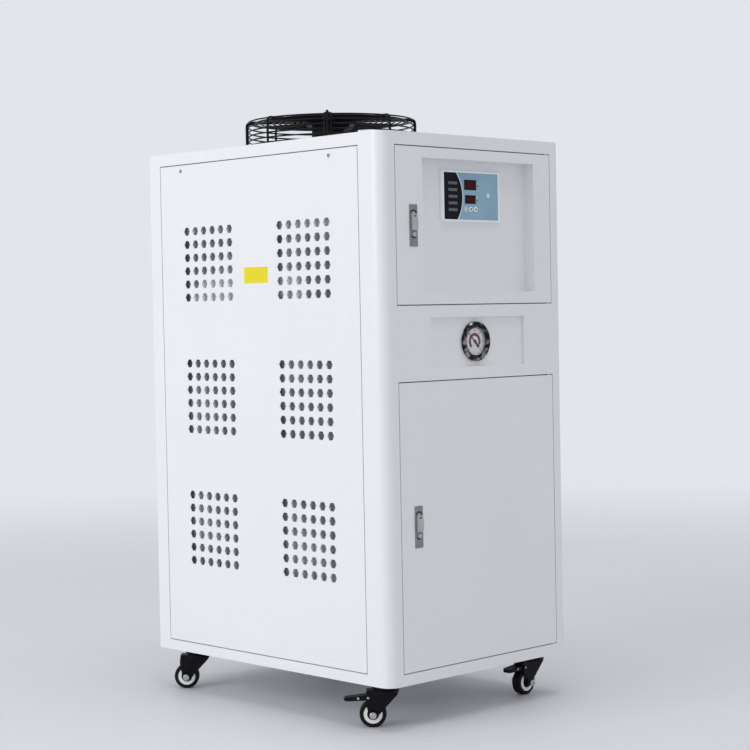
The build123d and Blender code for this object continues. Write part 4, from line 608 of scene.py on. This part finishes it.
def wire_guard():
    """Fan guard of round wire: side rings, top rings, four pairs of rods with feet and four single rods."""
    low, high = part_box("fan_guard")
    fan = box_centre("fan_rotor")
    roof = low.z
    rod_z = high.z - ARM_ROD / 2
    ring_z = rod_z - ARM_ROD / 2
    side_r = GUARD_R - SIDE_WIRE / 2
    bm = bmesh.new()

    def ring(radius, height):
        """One round wire ring about the fan's axis."""
        angles = [math.tau * step / 8 for step in range(8)]
        section = [
            (radius + SIDE_WIRE / 2 * math.cos(a), height + SIDE_WIRE / 2 * math.sin(a)) for a in angles
        ]
        turned(bm, section + section[:1], Matrix.Translation((fan.x, fan.y, 0)), steps=96)

    for number in range(SIDE_RINGS):
        ring(side_r, ring_z + SIDE_WIRE / 2 - number * SIDE_PITCH)
    for number in range(TOP_RINGS):
        ring(TOP_RING_FIRST + number * TOP_RING_PITCH, ring_z)

    def arm(angle, aside, thick, foot):
        """One bent rod from the middle over the rim and down the side, with a foot or without."""
        old = set(bm.verts)
        outer = side_r + SIDE_WIRE / 2 + thick / 2 - ARM_BITE / 2
        foot_z = roof + ARM_ROD / 2
        bend = (Vector((outer - ARM_BEND, aside, rod_z - ARM_BEND)), (0, 1, 0), math.pi / 2)
        drop_to = foot_z + (FOOT_BEND if foot else 0)
        moves = [
            Vector((outer - ARM_BEND - ARM_INNER, 0, 0)),
            bend,
            Vector((0, 0, drop_to - rod_z + ARM_BEND)),
        ]
        if foot:
            moves.append((Vector((outer + FOOT_BEND, aside, drop_to)), (0, -1, 0), math.pi / 2))
            moves.append(Vector((foot - outer - FOOT_BEND, 0, 0)))
        rod(bm, Vector((ARM_INNER, aside, rod_z)), (1, 0, 0), thick / 2, moves)
        turn = Matrix.Translation((fan.x, fan.y, 0)) @ Matrix.Rotation(math.radians(angle), 4, "Z")
        bmesh.ops.transform(bm, matrix=turn, verts=[v for v in bm.verts if v not in old])

    washer_r = 6 * MM
    foot_reach = GUARD_R + ARM_ROD + 2 * washer_r
    for angle in (45, 135, 225, 315):
        for aside in (-ARM_PAIR / 2, ARM_PAIR / 2):
            arm(angle, aside, ARM_ROD, foot_reach)
    for angle in (0, 90, 180, 270):
        arm(angle, 0, SINGLE_ROD, 0)
    guard = finished("wire_guard", bm, "cabinet", FINISHES["black_wire"])
    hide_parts("fan_guard")


def controller_print():
    """Navy field, pale arc, grey bars and small marks printed on the controller's film."""
    low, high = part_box("controller_face")
    middle = (low + high) / 2
    place = facing_front(Vector((middle.x, low.y, middle.z)))
    half_x, half_z = (high.x - low.x) / 2, (high.z - low.z) / 2
    inset = 0.5 * MM

    def trimmed(bm, left, right, bottom, top):
        """Cuts a flat sheet to a rectangle."""
        cuts = (
            ((left, 0, 0), (-1, 0, 0)),
            ((right, 0, 0), (1, 0, 0)),
            ((0, bottom, 0), (0, -1, 0)),
            ((0, top, 0), (0, 1, 0)),
        )
        for at, way in cuts:
            bmesh.ops.bisect_plane(
                bm, geom=bm.verts[:] + bm.edges[:] + bm.faces[:], plane_co=at, plane_no=way, clear_outer=True
            )

    def raised(bm, thick):
        """Gives a flat sheet its thickness and puts it in its place."""
        grown = bmesh.ops.extrude_face_region(bm, geom=bm.faces[:])["geom"]
        points = [item for item in grown if isinstance(item, bmesh.types.BMVert)]
        bmesh.ops.translate(bm, vec=(0, 0, thick), verts=points)
        bmesh.ops.transform(bm, matrix=place, verts=bm.verts)

    bm = bmesh.new()
    bmesh.ops.create_circle(
        bm, cap_ends=True, radius=NAVY_R, segments=256, matrix=Matrix.Translation((*NAVY_CENTRE, 0))
    )
    trimmed(bm, -half_x + inset, half_x, -half_z + inset, half_z - inset)
    raised(bm, FILM)
    finished("navy_field", bm, "upper_door", navy_ink())

    bm = bmesh.new()
    turned(
        bm,
        ((NAVY_R, 0), (NAVY_R + ARC_WIDE, 0)),
        Matrix.Translation((*NAVY_CENTRE, 0)),
        steps=256,
    )
    trimmed(bm, -half_x + inset, half_x, -half_z + inset, half_z - inset)
    raised(bm, FILM)
    finished("pale_arc", bm, "upper_door", pale_ink())

    bm = bmesh.new()
    for number in range(-2, 3):
        height = number * BAR_PITCH - 0.9 * MM
        block(
            bm,
            (BAR_LEFT, height - BAR_HIGH / 2, FILM),
            (BAR_RIGHT, height + BAR_HIGH / 2, 2 * FILM),
            place,
        )
    finished("printed_bars", bm, "upper_door", grey_ink())


def sector(bm, radius, wide, start, end, place, steps):
    """Flat stretch of a ring between two angles."""
    edges = (radius - wide / 2, radius + wide / 2)
    points = [bm.verts.new((r * math.cos(start), r * math.sin(start), 0)) for r in edges]
    line = bm.edges.new(points)
    old = set(bm.verts) - set(points)
    bmesh.ops.spin(bm, geom=points + [line], cent=(0, 0, 0), axis=(0, 0, 1), angle=end - start, steps=steps)
    bmesh.ops.transform(bm, matrix=place, verts=[v for v in bm.verts if v not in old])


def thickened(bm, way):
    """Gives flat shapes a thickness along a direction."""
    grown = bmesh.ops.extrude_face_region(bm, geom=bm.faces[:])["geom"]
    points = [item for item in grown if isinstance(item, bmesh.types.BMVert)]
    bmesh.ops.translate(bm, vec=way, verts=points)


def around(place, angle, radius=0):
    """Place turned about its own Z, then moved out along its X."""
    return place @ Matrix.Rotation(angle, 4, "Z") @ Matrix.Translation((radius, 0, 0))


def gauge_print():
    """Scale of the gauge's dial: ticks, plain numbers from 0 to 30 and a broad red band."""
    low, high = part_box("gauge_dial")
    middle = (low + high) / 2
    place = facing_front(Vector((middle.x, low.y, middle.z)))
    ink, red = dial_black(), dial_red()

    bm = bmesh.new()
    for number in range(SCALE_TOP + 1):
        angle = SCALE_START - SCALE_SWEEP * number / SCALE_TOP
        long = TICK_SHORT if number % SCALE_STEP else TICK_LONG
        wide = TICK_WIDE * (0.6 if number % SCALE_STEP else 1)
        block(bm, (-long, -wide / 2, 0), (0, wide / 2, FILM), around(place, angle, TICK_OUTER))
    over = place @ Matrix.Translation((0, 0, FILM))
    sector(bm, TICK_OUTER, 0.3 * MM, SCALE_START, SCALE_START - SCALE_SWEEP, over, 90)
    finished("gauge_ticks", bm, "cabinet", ink)

    bm = bmesh.new()
    sector(bm, BAND_R, BAND_WIDE, BAND_START, BAND_END, place, 72)
    thickened(bm, (0, -FILM, 0))
    finished("gauge_red_band", bm, "cabinet", red)

    bm = bmesh.new()
    for number in range(0, SCALE_TOP + 1, SCALE_STEP):
        angle = SCALE_START - SCALE_SWEEP * number / SCALE_TOP
        at = Matrix.Translation((NUMBER_R * math.cos(angle), NUMBER_R * math.sin(angle), FILM / 2))
        written = bpy.data.curves.new("number", "FONT")
        written.body = str(number)
        written.size = NUMBER_HIGH
        written.align_x = "CENTER"
        written.align_y = "CENTER"
        written.extrude = FILM / 2
        writing = bpy.data.objects.new("number", written)
        mesh = bpy.data.meshes.new_from_object(writing)
        mesh.transform(place @ at)
        bm.from_mesh(mesh)
        bpy.data.objects.remove(writing)
        bpy.data.meshes.remove(mesh)
    finished("gauge_numbers", bm, "cabinet", ink)


def joint(name):
    """Row of the record that holds a joint."""
    return next(row for row in frame["record"]["behaviour"]["joints"] if row["name"] == name)


def needle_tail():
    """Broad round tail on the needle, on the far side of its hub from the point."""
    hub = Vector(joint("needle_turn")["pos_m"])
    points = [vertex.co for vertex in frame["nodes"]["gauge_needle"].data.vertices]
    point = max(points, key=lambda found: Vector((found.x - hub.x, 0, found.z - hub.z)).length)
    blade = min(found.y for found in points if (found - point).length < 2 * MM)
    angle = math.atan2(hub.z - point.z, hub.x - point.x)
    place = around(facing_front(Vector((hub.x, blade, hub.z))), angle)
    bm = bmesh.new()
    block(bm, (TAIL_FROM, -0.62 * TAIL_R, -FILM), (TAIL_TO, 0.62 * TAIL_R, FILM), place)
    tail_end = place @ Matrix.Translation((TAIL_TO, 0, 0))
    turned(bm, ((0, -FILM), (TAIL_R, -FILM), (TAIL_R, 1.5 * FILM), (0, 1.5 * FILM)), tail_end, 24)
    finished("needle_tail", bm, "gauge_needle", dial_black())


def lock_seals():
    """Painted shade on both lock plates, as thin black sectors round the spindle's top and under the release
    button.
    """
    for prefix in ("upper", "lower"):
        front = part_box(f"{prefix}_lock_body")[0].y
        spindle, button = box_centre(f"{prefix}_lock_cam"), box_centre(f"{prefix}_lock_button")
        spindle.z = joint(f"{prefix}_lock_turn")["pos_m"][2]
        bm = bmesh.new()
        for centre, (radius, wide, start, end) in ((spindle, SPINDLE_SHADE), (button, BUTTON_SHADE)):
            sector(bm, radius, wide, start, end, facing_front(Vector((button.x, front, centre.z))), 24)
        thickened(bm, (0, -0.1 * MM, 0))
        finished(f"{prefix}_lock_seals", bm, f"{prefix}_door", black_nylon())


def lead_ties():
    """Two nylon ties round the pair of rods that carries the motor lead, at the front left."""
    fan, roof = box_centre("fan_rotor"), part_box("fan_guard")[0].z
    rods = GUARD_R + ARM_ROD / 2 - ARM_BITE / 2
    lead_out = rods + ARM_ROD / 2 + 3.4 * MM
    across = ARM_PAIR / 2 + ARM_ROD / 2
    place = Matrix.Translation((fan.x, fan.y, roof)) @ Matrix.Rotation(math.radians(225), 4, "Z")
    bm = bmesh.new()
    for height in TIE_HEIGHTS:
        block(
            bm,
            (rods - ARM_ROD / 2 - TIE_THICK, -across - TIE_THICK, height),
            (lead_out + TIE_THICK, across + TIE_THICK, height + TIE_HIGH),
            place,
            1.2 * MM,
        )
        block(
            bm,
            (rods - 2 * MM, across + 0.4 * MM, height - 0.8 * MM),
            (rods + 3 * MM, across + 4 * MM, height + TIE_HIGH + 0.8 * MM),
            place,
            0.6 * MM,
        )
    finished("lead_ties", bm, "cabinet", black_nylon())


def display_frames():
    """Black printed frame round each display window."""
    low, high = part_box("controller_face")
    middle = (low + high) / 2
    place = facing_front(Vector((middle.x, low.y, middle.z)))
    bm = bmesh.new()
    for x, z, wide, tall in DISPLAYS:
        left, right, bottom, top = x - wide / 2, x + wide / 2, z - tall / 2, z + tall / 2
        for near, far in ((left - FRAME_SIDE, left), (right, right + FRAME_SIDE)):
            block(bm, (near, bottom - FRAME_TOP, 0), (far, top + FRAME_TOP, FILM), place)
        for near, far in ((bottom - FRAME_TOP, bottom), (top, top + FRAME_TOP)):
            block(bm, (left, near, 0), (right, far, FILM), place)
    finished("display_frames", bm, "upper_door", black_nylon())


def display_segments():
    """Unlit figures behind both display windows."""
    low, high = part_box("controller_face")
    middle = (low + high) / 2
    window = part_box("display_windows")[0].y
    place = facing_front(Vector((middle.x, window, middle.z)))
    bm = bmesh.new()
    for x, z, wide, high_window in DISPLAYS:
        pitch = wide * 0.86 / DIGITS
        tall, broad = high_window * 0.58, pitch * 0.62
        stroke = broad * 0.17
        for digit in range(DIGITS):
            at = place @ Matrix.Translation((x + (digit - (DIGITS - 1) / 2) * pitch, z, 0))
            for level in (-1, 0, 1):
                up = level * tall / 2
                near, far = -broad / 2 + stroke, broad / 2 - stroke
                block(bm, (near, up - stroke / 2, 0), (far, up + stroke / 2, FILM), at)
            for side in (-1, 1):
                for level in (-1, 1):
                    across, up = side * broad / 2, level * tall / 4
                    reach = tall / 4 - stroke * 0.7
                    near, far = across - stroke / 2, across + stroke / 2
                    block(bm, (near, up - reach, 0), (far, up + reach, FILM), at)
    finished("display_figures", bm, "upper_door", unlit_segments())


def controller_lamps():
    """Round signal lamp in its white ring, and a small dot beside each display."""
    low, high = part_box("controller_face")
    middle = (low + high) / 2
    place = facing_front(Vector((middle.x, low.y, middle.z)))
    lamp = place @ Matrix.Translation((*LAMP_AT, 0))
    bm = bmesh.new()
    angles = (0, 0.4, 0.8, 1.2, math.pi / 2)
    dome = [(LAMP_R * math.cos(a), 0.4 * MM + 0.45 * LAMP_R * math.sin(a)) for a in angles]
    turned(bm, [(LAMP_R, 0)] + dome, lamp, 32)
    finished("signal_lamp", bm, "upper_door", lamp_lens())
    bm = bmesh.new()
    rim = (
        (LAMP_R, 0),
        (LAMP_R, 0.9 * MM),
        (LAMP_R + 0.5 * MM, 1.1 * MM),
        (LAMP_R + 1.3 * MM, 0.5 * MM),
        (LAMP_R + 1.4 * MM, 0),
    )
    turned(bm, rim, lamp, 32)
    finished("signal_lamp_ring", bm, "upper_door", pale_ink())
    for name, up, ink in (("signal_dots", 4 * MM, lamp_lens()), ("signal_marks", -1.5 * MM, navy_ink())):
        bm = bmesh.new()
        for x, z, wide, high_window in DISPLAYS:
            at = place @ Matrix.Translation((x + wide / 2 + DOT_FROM_DISPLAY, z + up, 0))
            turned(bm, ((DOT_R, 0), (DOT_R, FILM), (DOT_R / 2, 2 * FILM), (0, 2 * FILM)), at, 16)
        finished(name, bm, "upper_door", ink)


def button_marks():
    """Grey mark on each of the controller's three caps: a ring, a point down and a point up."""
    ink = navy_ink()
    for name in ("set_button", "down_button", "up_button"):
        low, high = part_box(name)
        middle = (low + high) / 2
        place = facing_front(Vector((middle.x, low.y, middle.z)))
        bm = bmesh.new()
        if name == "set_button":
            turned(bm, ((BUTTON_MARK * 0.7, FILM), (BUTTON_MARK, FILM)), place, 32)
        else:
            point = -math.pi / 2 if name == "down_button" else math.pi / 2
            aimed = place @ Matrix.Rotation(point - math.pi / 2, 4, "Z") @ Matrix.Translation((0, 0, FILM))
            bmesh.ops.create_circle(bm, cap_ends=True, radius=BUTTON_MARK, segments=3, matrix=aimed)
        finished(f"{name}_mark", bm, name, ink)


def caster_details():
    """White disc on each face of a wheel, and the bright bolt through its fork."""
    disc, bolt = wheel_white(), bright_zinc()
    for row in frame["record"]["behaviour"]["joints"]:
        if not row["name"].endswith("_roll"):
            continue
        corner = row["name"].removesuffix("_roll")
        centre = Vector(row["pos_m"])
        axle = Vector(row["axis"])
        fork_node = frame["nodes"][f"{corner}_fork"]
        wheel_half = max((v.co - centre).dot(axle) for v in frame["nodes"][f"{corner}_wheel"].data.vertices)
        fork_half = max((v.co - centre).dot(axle) for v in fork_node.data.vertices)
        discs, bolts = bmesh.new(), bmesh.new()
        for side in (-1, 1):
            facing = (axle * side).to_track_quat("Z", "Y").to_matrix().to_4x4()
            place = Matrix.Translation(centre) @ facing
            deep = wheel_half - 1.9 * MM
            turned(
                discs,
                (
                    (DISC_INNER, deep),
                    (DISC_INNER, deep + 1.2 * MM),
                    (DISC_INNER + 1.5 * MM, deep + 0.5 * MM),
                    (DISC_OUTER - 2 * MM, deep + 0.7 * MM),
                    (DISC_OUTER, deep + 1.4 * MM),
                    (DISC_OUTER, deep),
                ),
                place,
                48,
            )
            face = fork_half + 0.1 * MM
            turned(
                bolts,
                (
                    (BOLT_R, face - 2 * MM),
                    (BOLT_R, face - 0.6 * MM),
                    (BOLT_R - 0.8 * MM, face),
                    (3.2 * MM, face),
                    (2.9 * MM, face - 1.2 * MM),
                    (0, face - 1.2 * MM),
                ),
                place,
                32,
            )
        finished(f"{corner}_wheel_discs", discs, f"{corner}_wheel", disc)
        finished(f"{corner}_bolt_heads", bolts, f"{corner}_fork", bolt)


def pedal_rivets():
    """Bright rivet heads on both sides of the brake pedals, on the pivot and farther out."""
    for row in frame["record"]["behaviour"]["joints"]:
        if not row["name"].endswith("_brake"):
            continue
        corner = row["name"].removesuffix("_brake")
        pivot, axle = Vector(row["pos_m"]), Vector(row["axis"])
        points = [vertex.co - pivot for vertex in frame["nodes"][f"{corner}_brake_pedal"].data.vertices]
        tip = max(points, key=lambda found: found.length)
        out = (tip - axle * tip.dot(axle)) * Vector((1, 1, 0))
        out.normalize()
        outer = [found for found in points if found.dot(out) > RIVET_OUT]
        bm = bmesh.new()
        for spot, near in ((pivot, points), (pivot + out * RIVET_OUT - Vector((0, 0, RIVET_DOWN)), outer)):
            reach = max(found.dot(axle) for found in near)
            for side in (-1, 1):
                facing = (axle * side).to_track_quat("Z", "Y").to_matrix().to_4x4()
                head = (
                    (RIVET_R, -0.2 * MM),
                    (RIVET_R, 0.3 * RIVET_HIGH),
                    (0.7 * RIVET_R, 0.8 * RIVET_HIGH),
                    (0, RIVET_HIGH),
                )
                turned(bm, head, Matrix.Translation(spot + axle * side * reach) @ facing, 24)
        finished(f"{corner}_pedal_rivets", bm, f"{corner}_pedal", bright_zinc())


def screw_heads(bm, spots, radius, high, place):
    """Domed screw heads at spots in a plane, which is the place's own XY."""
    for across, up in spots:
        head = ((radius, 0), (radius, 0.6 * high), (0.6 * radius, high), (0, high))
        turned(bm, head, place @ Matrix.Translation((across, up, 0)), 16)


def electrical_details():
    """Terminal screws of the contactors, the relay and the strip, and the dark covers of their coils."""
    low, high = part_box("electrical_parts")
    plate, rail, strip = high.y, high.z - UPPER_RAIL_DOWN, low.z + STRIP_UP
    screws, covers = bmesh.new(), bmesh.new()
    for middle in CONTACTORS:
        front = facing_front(Vector((middle, plate - CONTACTOR_DEEP, rail)))
        spots = [(across * MM, up) for across in (-14, 0, 14) for up in (-SCREW_ROW, SCREW_ROW)]
        screw_heads(screws, spots, 3.4 * MM, 1.2 * MM, front)
        cover = facing_front(Vector((middle, plate - COVER_DEEP, rail)))
        block(covers, (-11 * MM, -12 * MM, 0), (11 * MM, 8 * MM, 1.2 * MM), cover, 0.4 * MM)
    front = facing_front(Vector((RELAY_AT, plate - RELAY_DEEP, rail)))
    spots = [(across * MM, up) for across in (-21, -7, 7, 21) for up in (-24 * MM, 24 * MM)]
    screw_heads(screws, spots, 3 * MM, 1.1 * MM, front)
    block(covers, (-20 * MM, -13 * MM, 0), (20 * MM, 13 * MM, 1.2 * MM), front, 0.4 * MM)
    front = facing_front(Vector((0, plate - STRIP_DEEP + SLOT_DEEP, strip)))
    spots = [
        ((number - (TERMINALS - 1) / 2) * TERMINAL_PITCH, up)
        for number in range(TERMINALS)
        for up in (-9 * MM, 9 * MM)
    ]
    screw_heads(screws, spots, 3 * MM, 1.4 * MM, front)
    finished("terminal_screws", screws, "cabinet", bright_zinc())
    finished("coil_covers", covers, "cabinet", black_nylon())


def controller_terminals():
    """Black terminal row with screws on the controller's back."""
    low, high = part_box("controller_housing")
    middle = (low + high) / 2
    facing_back = Matrix.Rotation(math.radians(-90), 4, "X")
    place = Matrix.Translation((middle.x, high.y, middle.z - 24 * MM)) @ facing_back
    bm = bmesh.new()
    block(bm, (-58 * MM, -8 * MM, -0.2 * MM), (58 * MM, 8 * MM, 1 * MM), place, 0.3 * MM)
    finished("controller_terminal_row", bm, "upper_door", black_nylon())
    bm = bmesh.new()
    row = place @ Matrix.Translation((0, 0, 1 * MM))
    screw_heads(bm, [((number - 5.5) * 9.4 * MM, 0) for number in range(12)], 2.8 * MM, 0.8 * MM, row)
    finished("controller_terminal_screws", bm, "upper_door", bright_zinc())


def pump_details():
    """Cooling ribs along the pump's motor, and thin black rings on its round fan cover, painted shade
    standing for its slots.
    """
    low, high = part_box("pump")
    centre_x = (low.x + high.x) / 2
    axis_z = low.z + FOOT_TO_AXIS
    front = low.y
    place = facing_front(Vector((centre_x, front, axis_z)))
    bm = bmesh.new()
    for number in range(PUMP_RIBS):
        angle = math.tau * (number + 0.5) / PUMP_RIBS
        if math.sin(angle) < -0.6:
            continue
        block(
            bm,
            (-0.4 * MM, -RIB_THICK / 2, -COVER_LONG - BARREL_LONG),
            (RIB_HIGH, RIB_THICK / 2, -COVER_LONG + 0.2 * MM),
            around(place, angle, BARREL_R),
        )
    finished("pump_ribs", bm, "cabinet", FINISHES["pump_paint"])
    # Painted shade: thin black rings where the cover's slots are open
    bm = bmesh.new()
    for number in range(6):
        inner = (14 + 7 * number) * MM
        turned(bm, ((inner, 0), (inner, FILM), (inner + 3.4 * MM, FILM), (inner + 3.4 * MM, 0)), place, 48)
    finished("pump_cover_slots", bm, "cabinet", black_nylon())


def compressor_details():
    """Weld bead round the compressor's shell, and its moulded terminal cover with one screw."""
    low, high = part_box("compressor")
    cover_low, cover_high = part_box("top_cover")
    centre = Vector((COMPRESSOR_AT[0], (cover_low.y + cover_high.y) / 2 + COMPRESSOR_AT[1], 0))
    seam = low.z + 0.72 * (high.z - low.z)
    bm = bmesh.new()
    bead = ((SHELL_R - 0.5 * MM, -2.5 * MM), (SHELL_R + 1.2 * MM, 0), (SHELL_R - 0.5 * MM, 2.5 * MM))
    turned(bm, bead, Matrix.Translation((centre.x, centre.y, seam)), 64)
    finished("compressor_weld_bead", bm, "cabinet", FINISHES["black_motor"])
    bm = bmesh.new()
    back = centre.y - SHELL_R
    block(
        bm,
        (centre.x - 27 * MM, back - 20 * MM, seam - 96 * MM),
        (centre.x + 27 * MM, back + 6 * MM, seam - 26 * MM),
        rounding=4 * MM,
    )
    finished("compressor_terminal_cover", bm, "cabinet", FINISHES["black_nylon"])
    bm = bmesh.new()
    spot = facing_front(Vector((centre.x, back - 20 * MM, seam - 61 * MM)))
    screw_heads(bm, [(0, 0)], 3.2 * MM, 1.4 * MM, spot)
    finished("compressor_cover_screw", bm, "cabinet", bright_zinc())


def side_panel_details():
    """Painted shade of the cross recesses in the side panels' screws, as flat black crosses, and the blank
    yellow label on the left panel.
    """
    screws_low, screws_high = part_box("panel_screws")
    panel_low, panel_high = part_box("left_panel")
    bm = bmesh.new()
    height = panel_high.z - SCREW_FROM_TOP
    # Painted shade: flat black crosses where the screws' recesses are
    for side, face in ((-1, screws_low.x), (1, screws_high.x)):
        for along in (panel_low.y + SCREW_FROM_FRONT, panel_high.y - SCREW_FROM_REAR):
            for long, wide in ((RECESS_SHADE_LONG, RECESS_SHADE_WIDE), (RECESS_SHADE_WIDE, RECESS_SHADE_LONG)):
                reach = Vector((0.05 * MM, long / 2, wide / 2))
                block(bm, Vector((face, along, height)) - reach, Vector((face, along, height)) + reach)
    finished("panel_screw_recesses", bm, "cabinet", black_nylon())
    bm = bmesh.new()
    cover_low, cover_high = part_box("top_cover")
    middle_y = (cover_low.y + cover_high.y) / 2
    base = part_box("base_tray")[0].z
    block(
        bm,
        (panel_low.x - FILM, middle_y + LABEL_YS[0], base + LABEL_ZS[0]),
        (panel_low.x + FILM, middle_y + LABEL_YS[1], base + LABEL_ZS[1]),
    )
    finished("yellow_label", bm, "cabinet", yellow_vinyl())


controller_print()
display_frames()
display_segments()
controller_lamps()
button_marks()
gauge_print()
needle_tail()
lock_seals()
lead_ties()
caster_details()
pedal_rivets()
electrical_details()
controller_terminals()
pump_details()
compressor_details()
side_panel_details()
wire_guard()


def soft_light(name, at, aim, size, power):
    """Large square lamp that faces a point."""
    data = bpy.data.lights.new(name, "AREA")
    data.shape = "SQUARE"
    data.size = size
    data.energy = power
    lamp = bpy.data.objects.new(name, data)
    lamp.location = at
    lamp.rotation_euler = (Vector(aim) - Vector(at)).to_track_quat("-Z", "Y").to_euler()
    bpy.context.scene.collection.objects.link(lamp)


def photo_camera():
    """Camera at the photograph's place, turn, rise and roll."""
    back = Vector(
        (
            math.sin(CAMERA_TURN) * math.cos(CAMERA_RISE),
            -math.cos(CAMERA_TURN) * math.cos(CAMERA_RISE),
            math.sin(CAMERA_RISE),
        )
    )
    level = Vector((math.cos(CAMERA_TURN), math.sin(CAMERA_TURN), 0))
    up = back.cross(level)
    right = level * math.cos(CAMERA_ROLL) + up * math.sin(CAMERA_ROLL)
    top = up * math.cos(CAMERA_ROLL) - level * math.sin(CAMERA_ROLL)
    data = bpy.data.cameras.new("photo_camera")
    data.lens = CAMERA_LENS
    data.clip_end = 100
    camera = bpy.data.objects.new("photo_camera", data)
    camera.matrix_world = Matrix.Translation(CAMERA_AT) @ Matrix((right, top, back)).transposed().to_4x4()
    bpy.context.scene.collection.objects.link(camera)
    bpy.context.scene.camera = camera


def pale_floor():
    """Plain pale floor, which keeps the cabinet's shadow and fades into the wall far away."""
    bm = bmesh.new()
    bmesh.ops.create_grid(bm, x_segments=1, y_segments=1, size=20)
    mesh = bpy.data.meshes.new("floor")
    bm.to_mesh(mesh)
    bm.free()
    floor = bpy.data.objects.new("floor", mesh)
    bpy.context.scene.collection.objects.link(floor)
    material = grained("painted_floor", "#D9DBDF", "#D3D5DA", (0.45, 0.6), 900 * MM, 6 * MM, 0.05 * MM)
    mesh.materials.append(material)
    tree = material.node_tree
    place = add_node(material, "TexCoord", {}).outputs["Object"]
    away = add_node(material, "VectorMath", {0: place}, operation="LENGTH")
    fade = add_node(
        material,
        "MapRange",
        {"Value": away.outputs["Value"], "From Min": FLOOR_FADE[0], "From Max": FLOOR_FADE[1]},
        interpolation_type="SMOOTHSTEP",
    )
    rays = add_node(material, "LightPath", {})
    direct = {0: rays.outputs["Is Camera Ray"], 1: rays.outputs["Is Glossy Ray"]}
    seen = add_node(material, "Math", direct, operation="MAXIMUM")
    seen = add_node(
        material, "Math", {0: seen.outputs[0], 1: rays.outputs["Is Transmission Ray"]}, operation="MAXIMUM"
    )
    shown = add_node(material, "Math", {0: seen.outputs[0], 1: fade.outputs[0]}, operation="MULTIPLY")
    wall = add_node(material, "Emission", {"Color": linear(WALL_COLOUR), "Strength": 1})
    mixed = add_node(
        material,
        "MixShader",
        {0: shown.outputs[0], 1: tree.nodes["Principled BSDF"].outputs[0], 2: wall.outputs[0]},
    )
    tree.links.new(mixed.outputs[0], tree.nodes["Material Output"].inputs["Surface"])


def pale_surroundings():
    """World that lights the cabinet softly and shows the camera a pale wall."""
    world = bpy.data.worlds.new("pale_room")
    bpy.context.scene.world = world
    world.use_nodes = True
    tree = world.node_tree
    light = tree.nodes["Background"]
    light.inputs["Color"].default_value = linear("#F3F3F5")
    light.inputs["Strength"].default_value = 0.68
    wall = tree.nodes.new("ShaderNodeBackground")
    wall.inputs["Color"].default_value = linear(WALL_COLOUR)
    wall.inputs["Strength"].default_value = 1
    rays = tree.nodes.new("ShaderNodeLightPath")
    seen = tree.nodes.new("ShaderNodeMath")
    seen.operation = "MAXIMUM"
    tree.links.new(rays.outputs["Is Camera Ray"], seen.inputs[0])
    tree.links.new(rays.outputs["Is Transmission Ray"], seen.inputs[1])
    shown = tree.nodes.new("ShaderNodeMixShader")
    tree.links.new(seen.outputs[0], shown.inputs[0])
    tree.links.new(light.outputs[0], shown.inputs[1])
    tree.links.new(wall.outputs[0], shown.inputs[2])
    tree.links.new(shown.outputs[0], tree.nodes["World Output"].inputs["Surface"])


photo_camera()
pale_floor()
pale_surroundings()
soft_light("key", (-4.8, 0.9, 2.4), (0, 0, 0.6), 3.0, 92)
soft_light("top", (0, -0.5, 4.5), (0, 0, 1), 3.0, 60)
bpy.context.scene.view_settings.view_transform = "Standard"
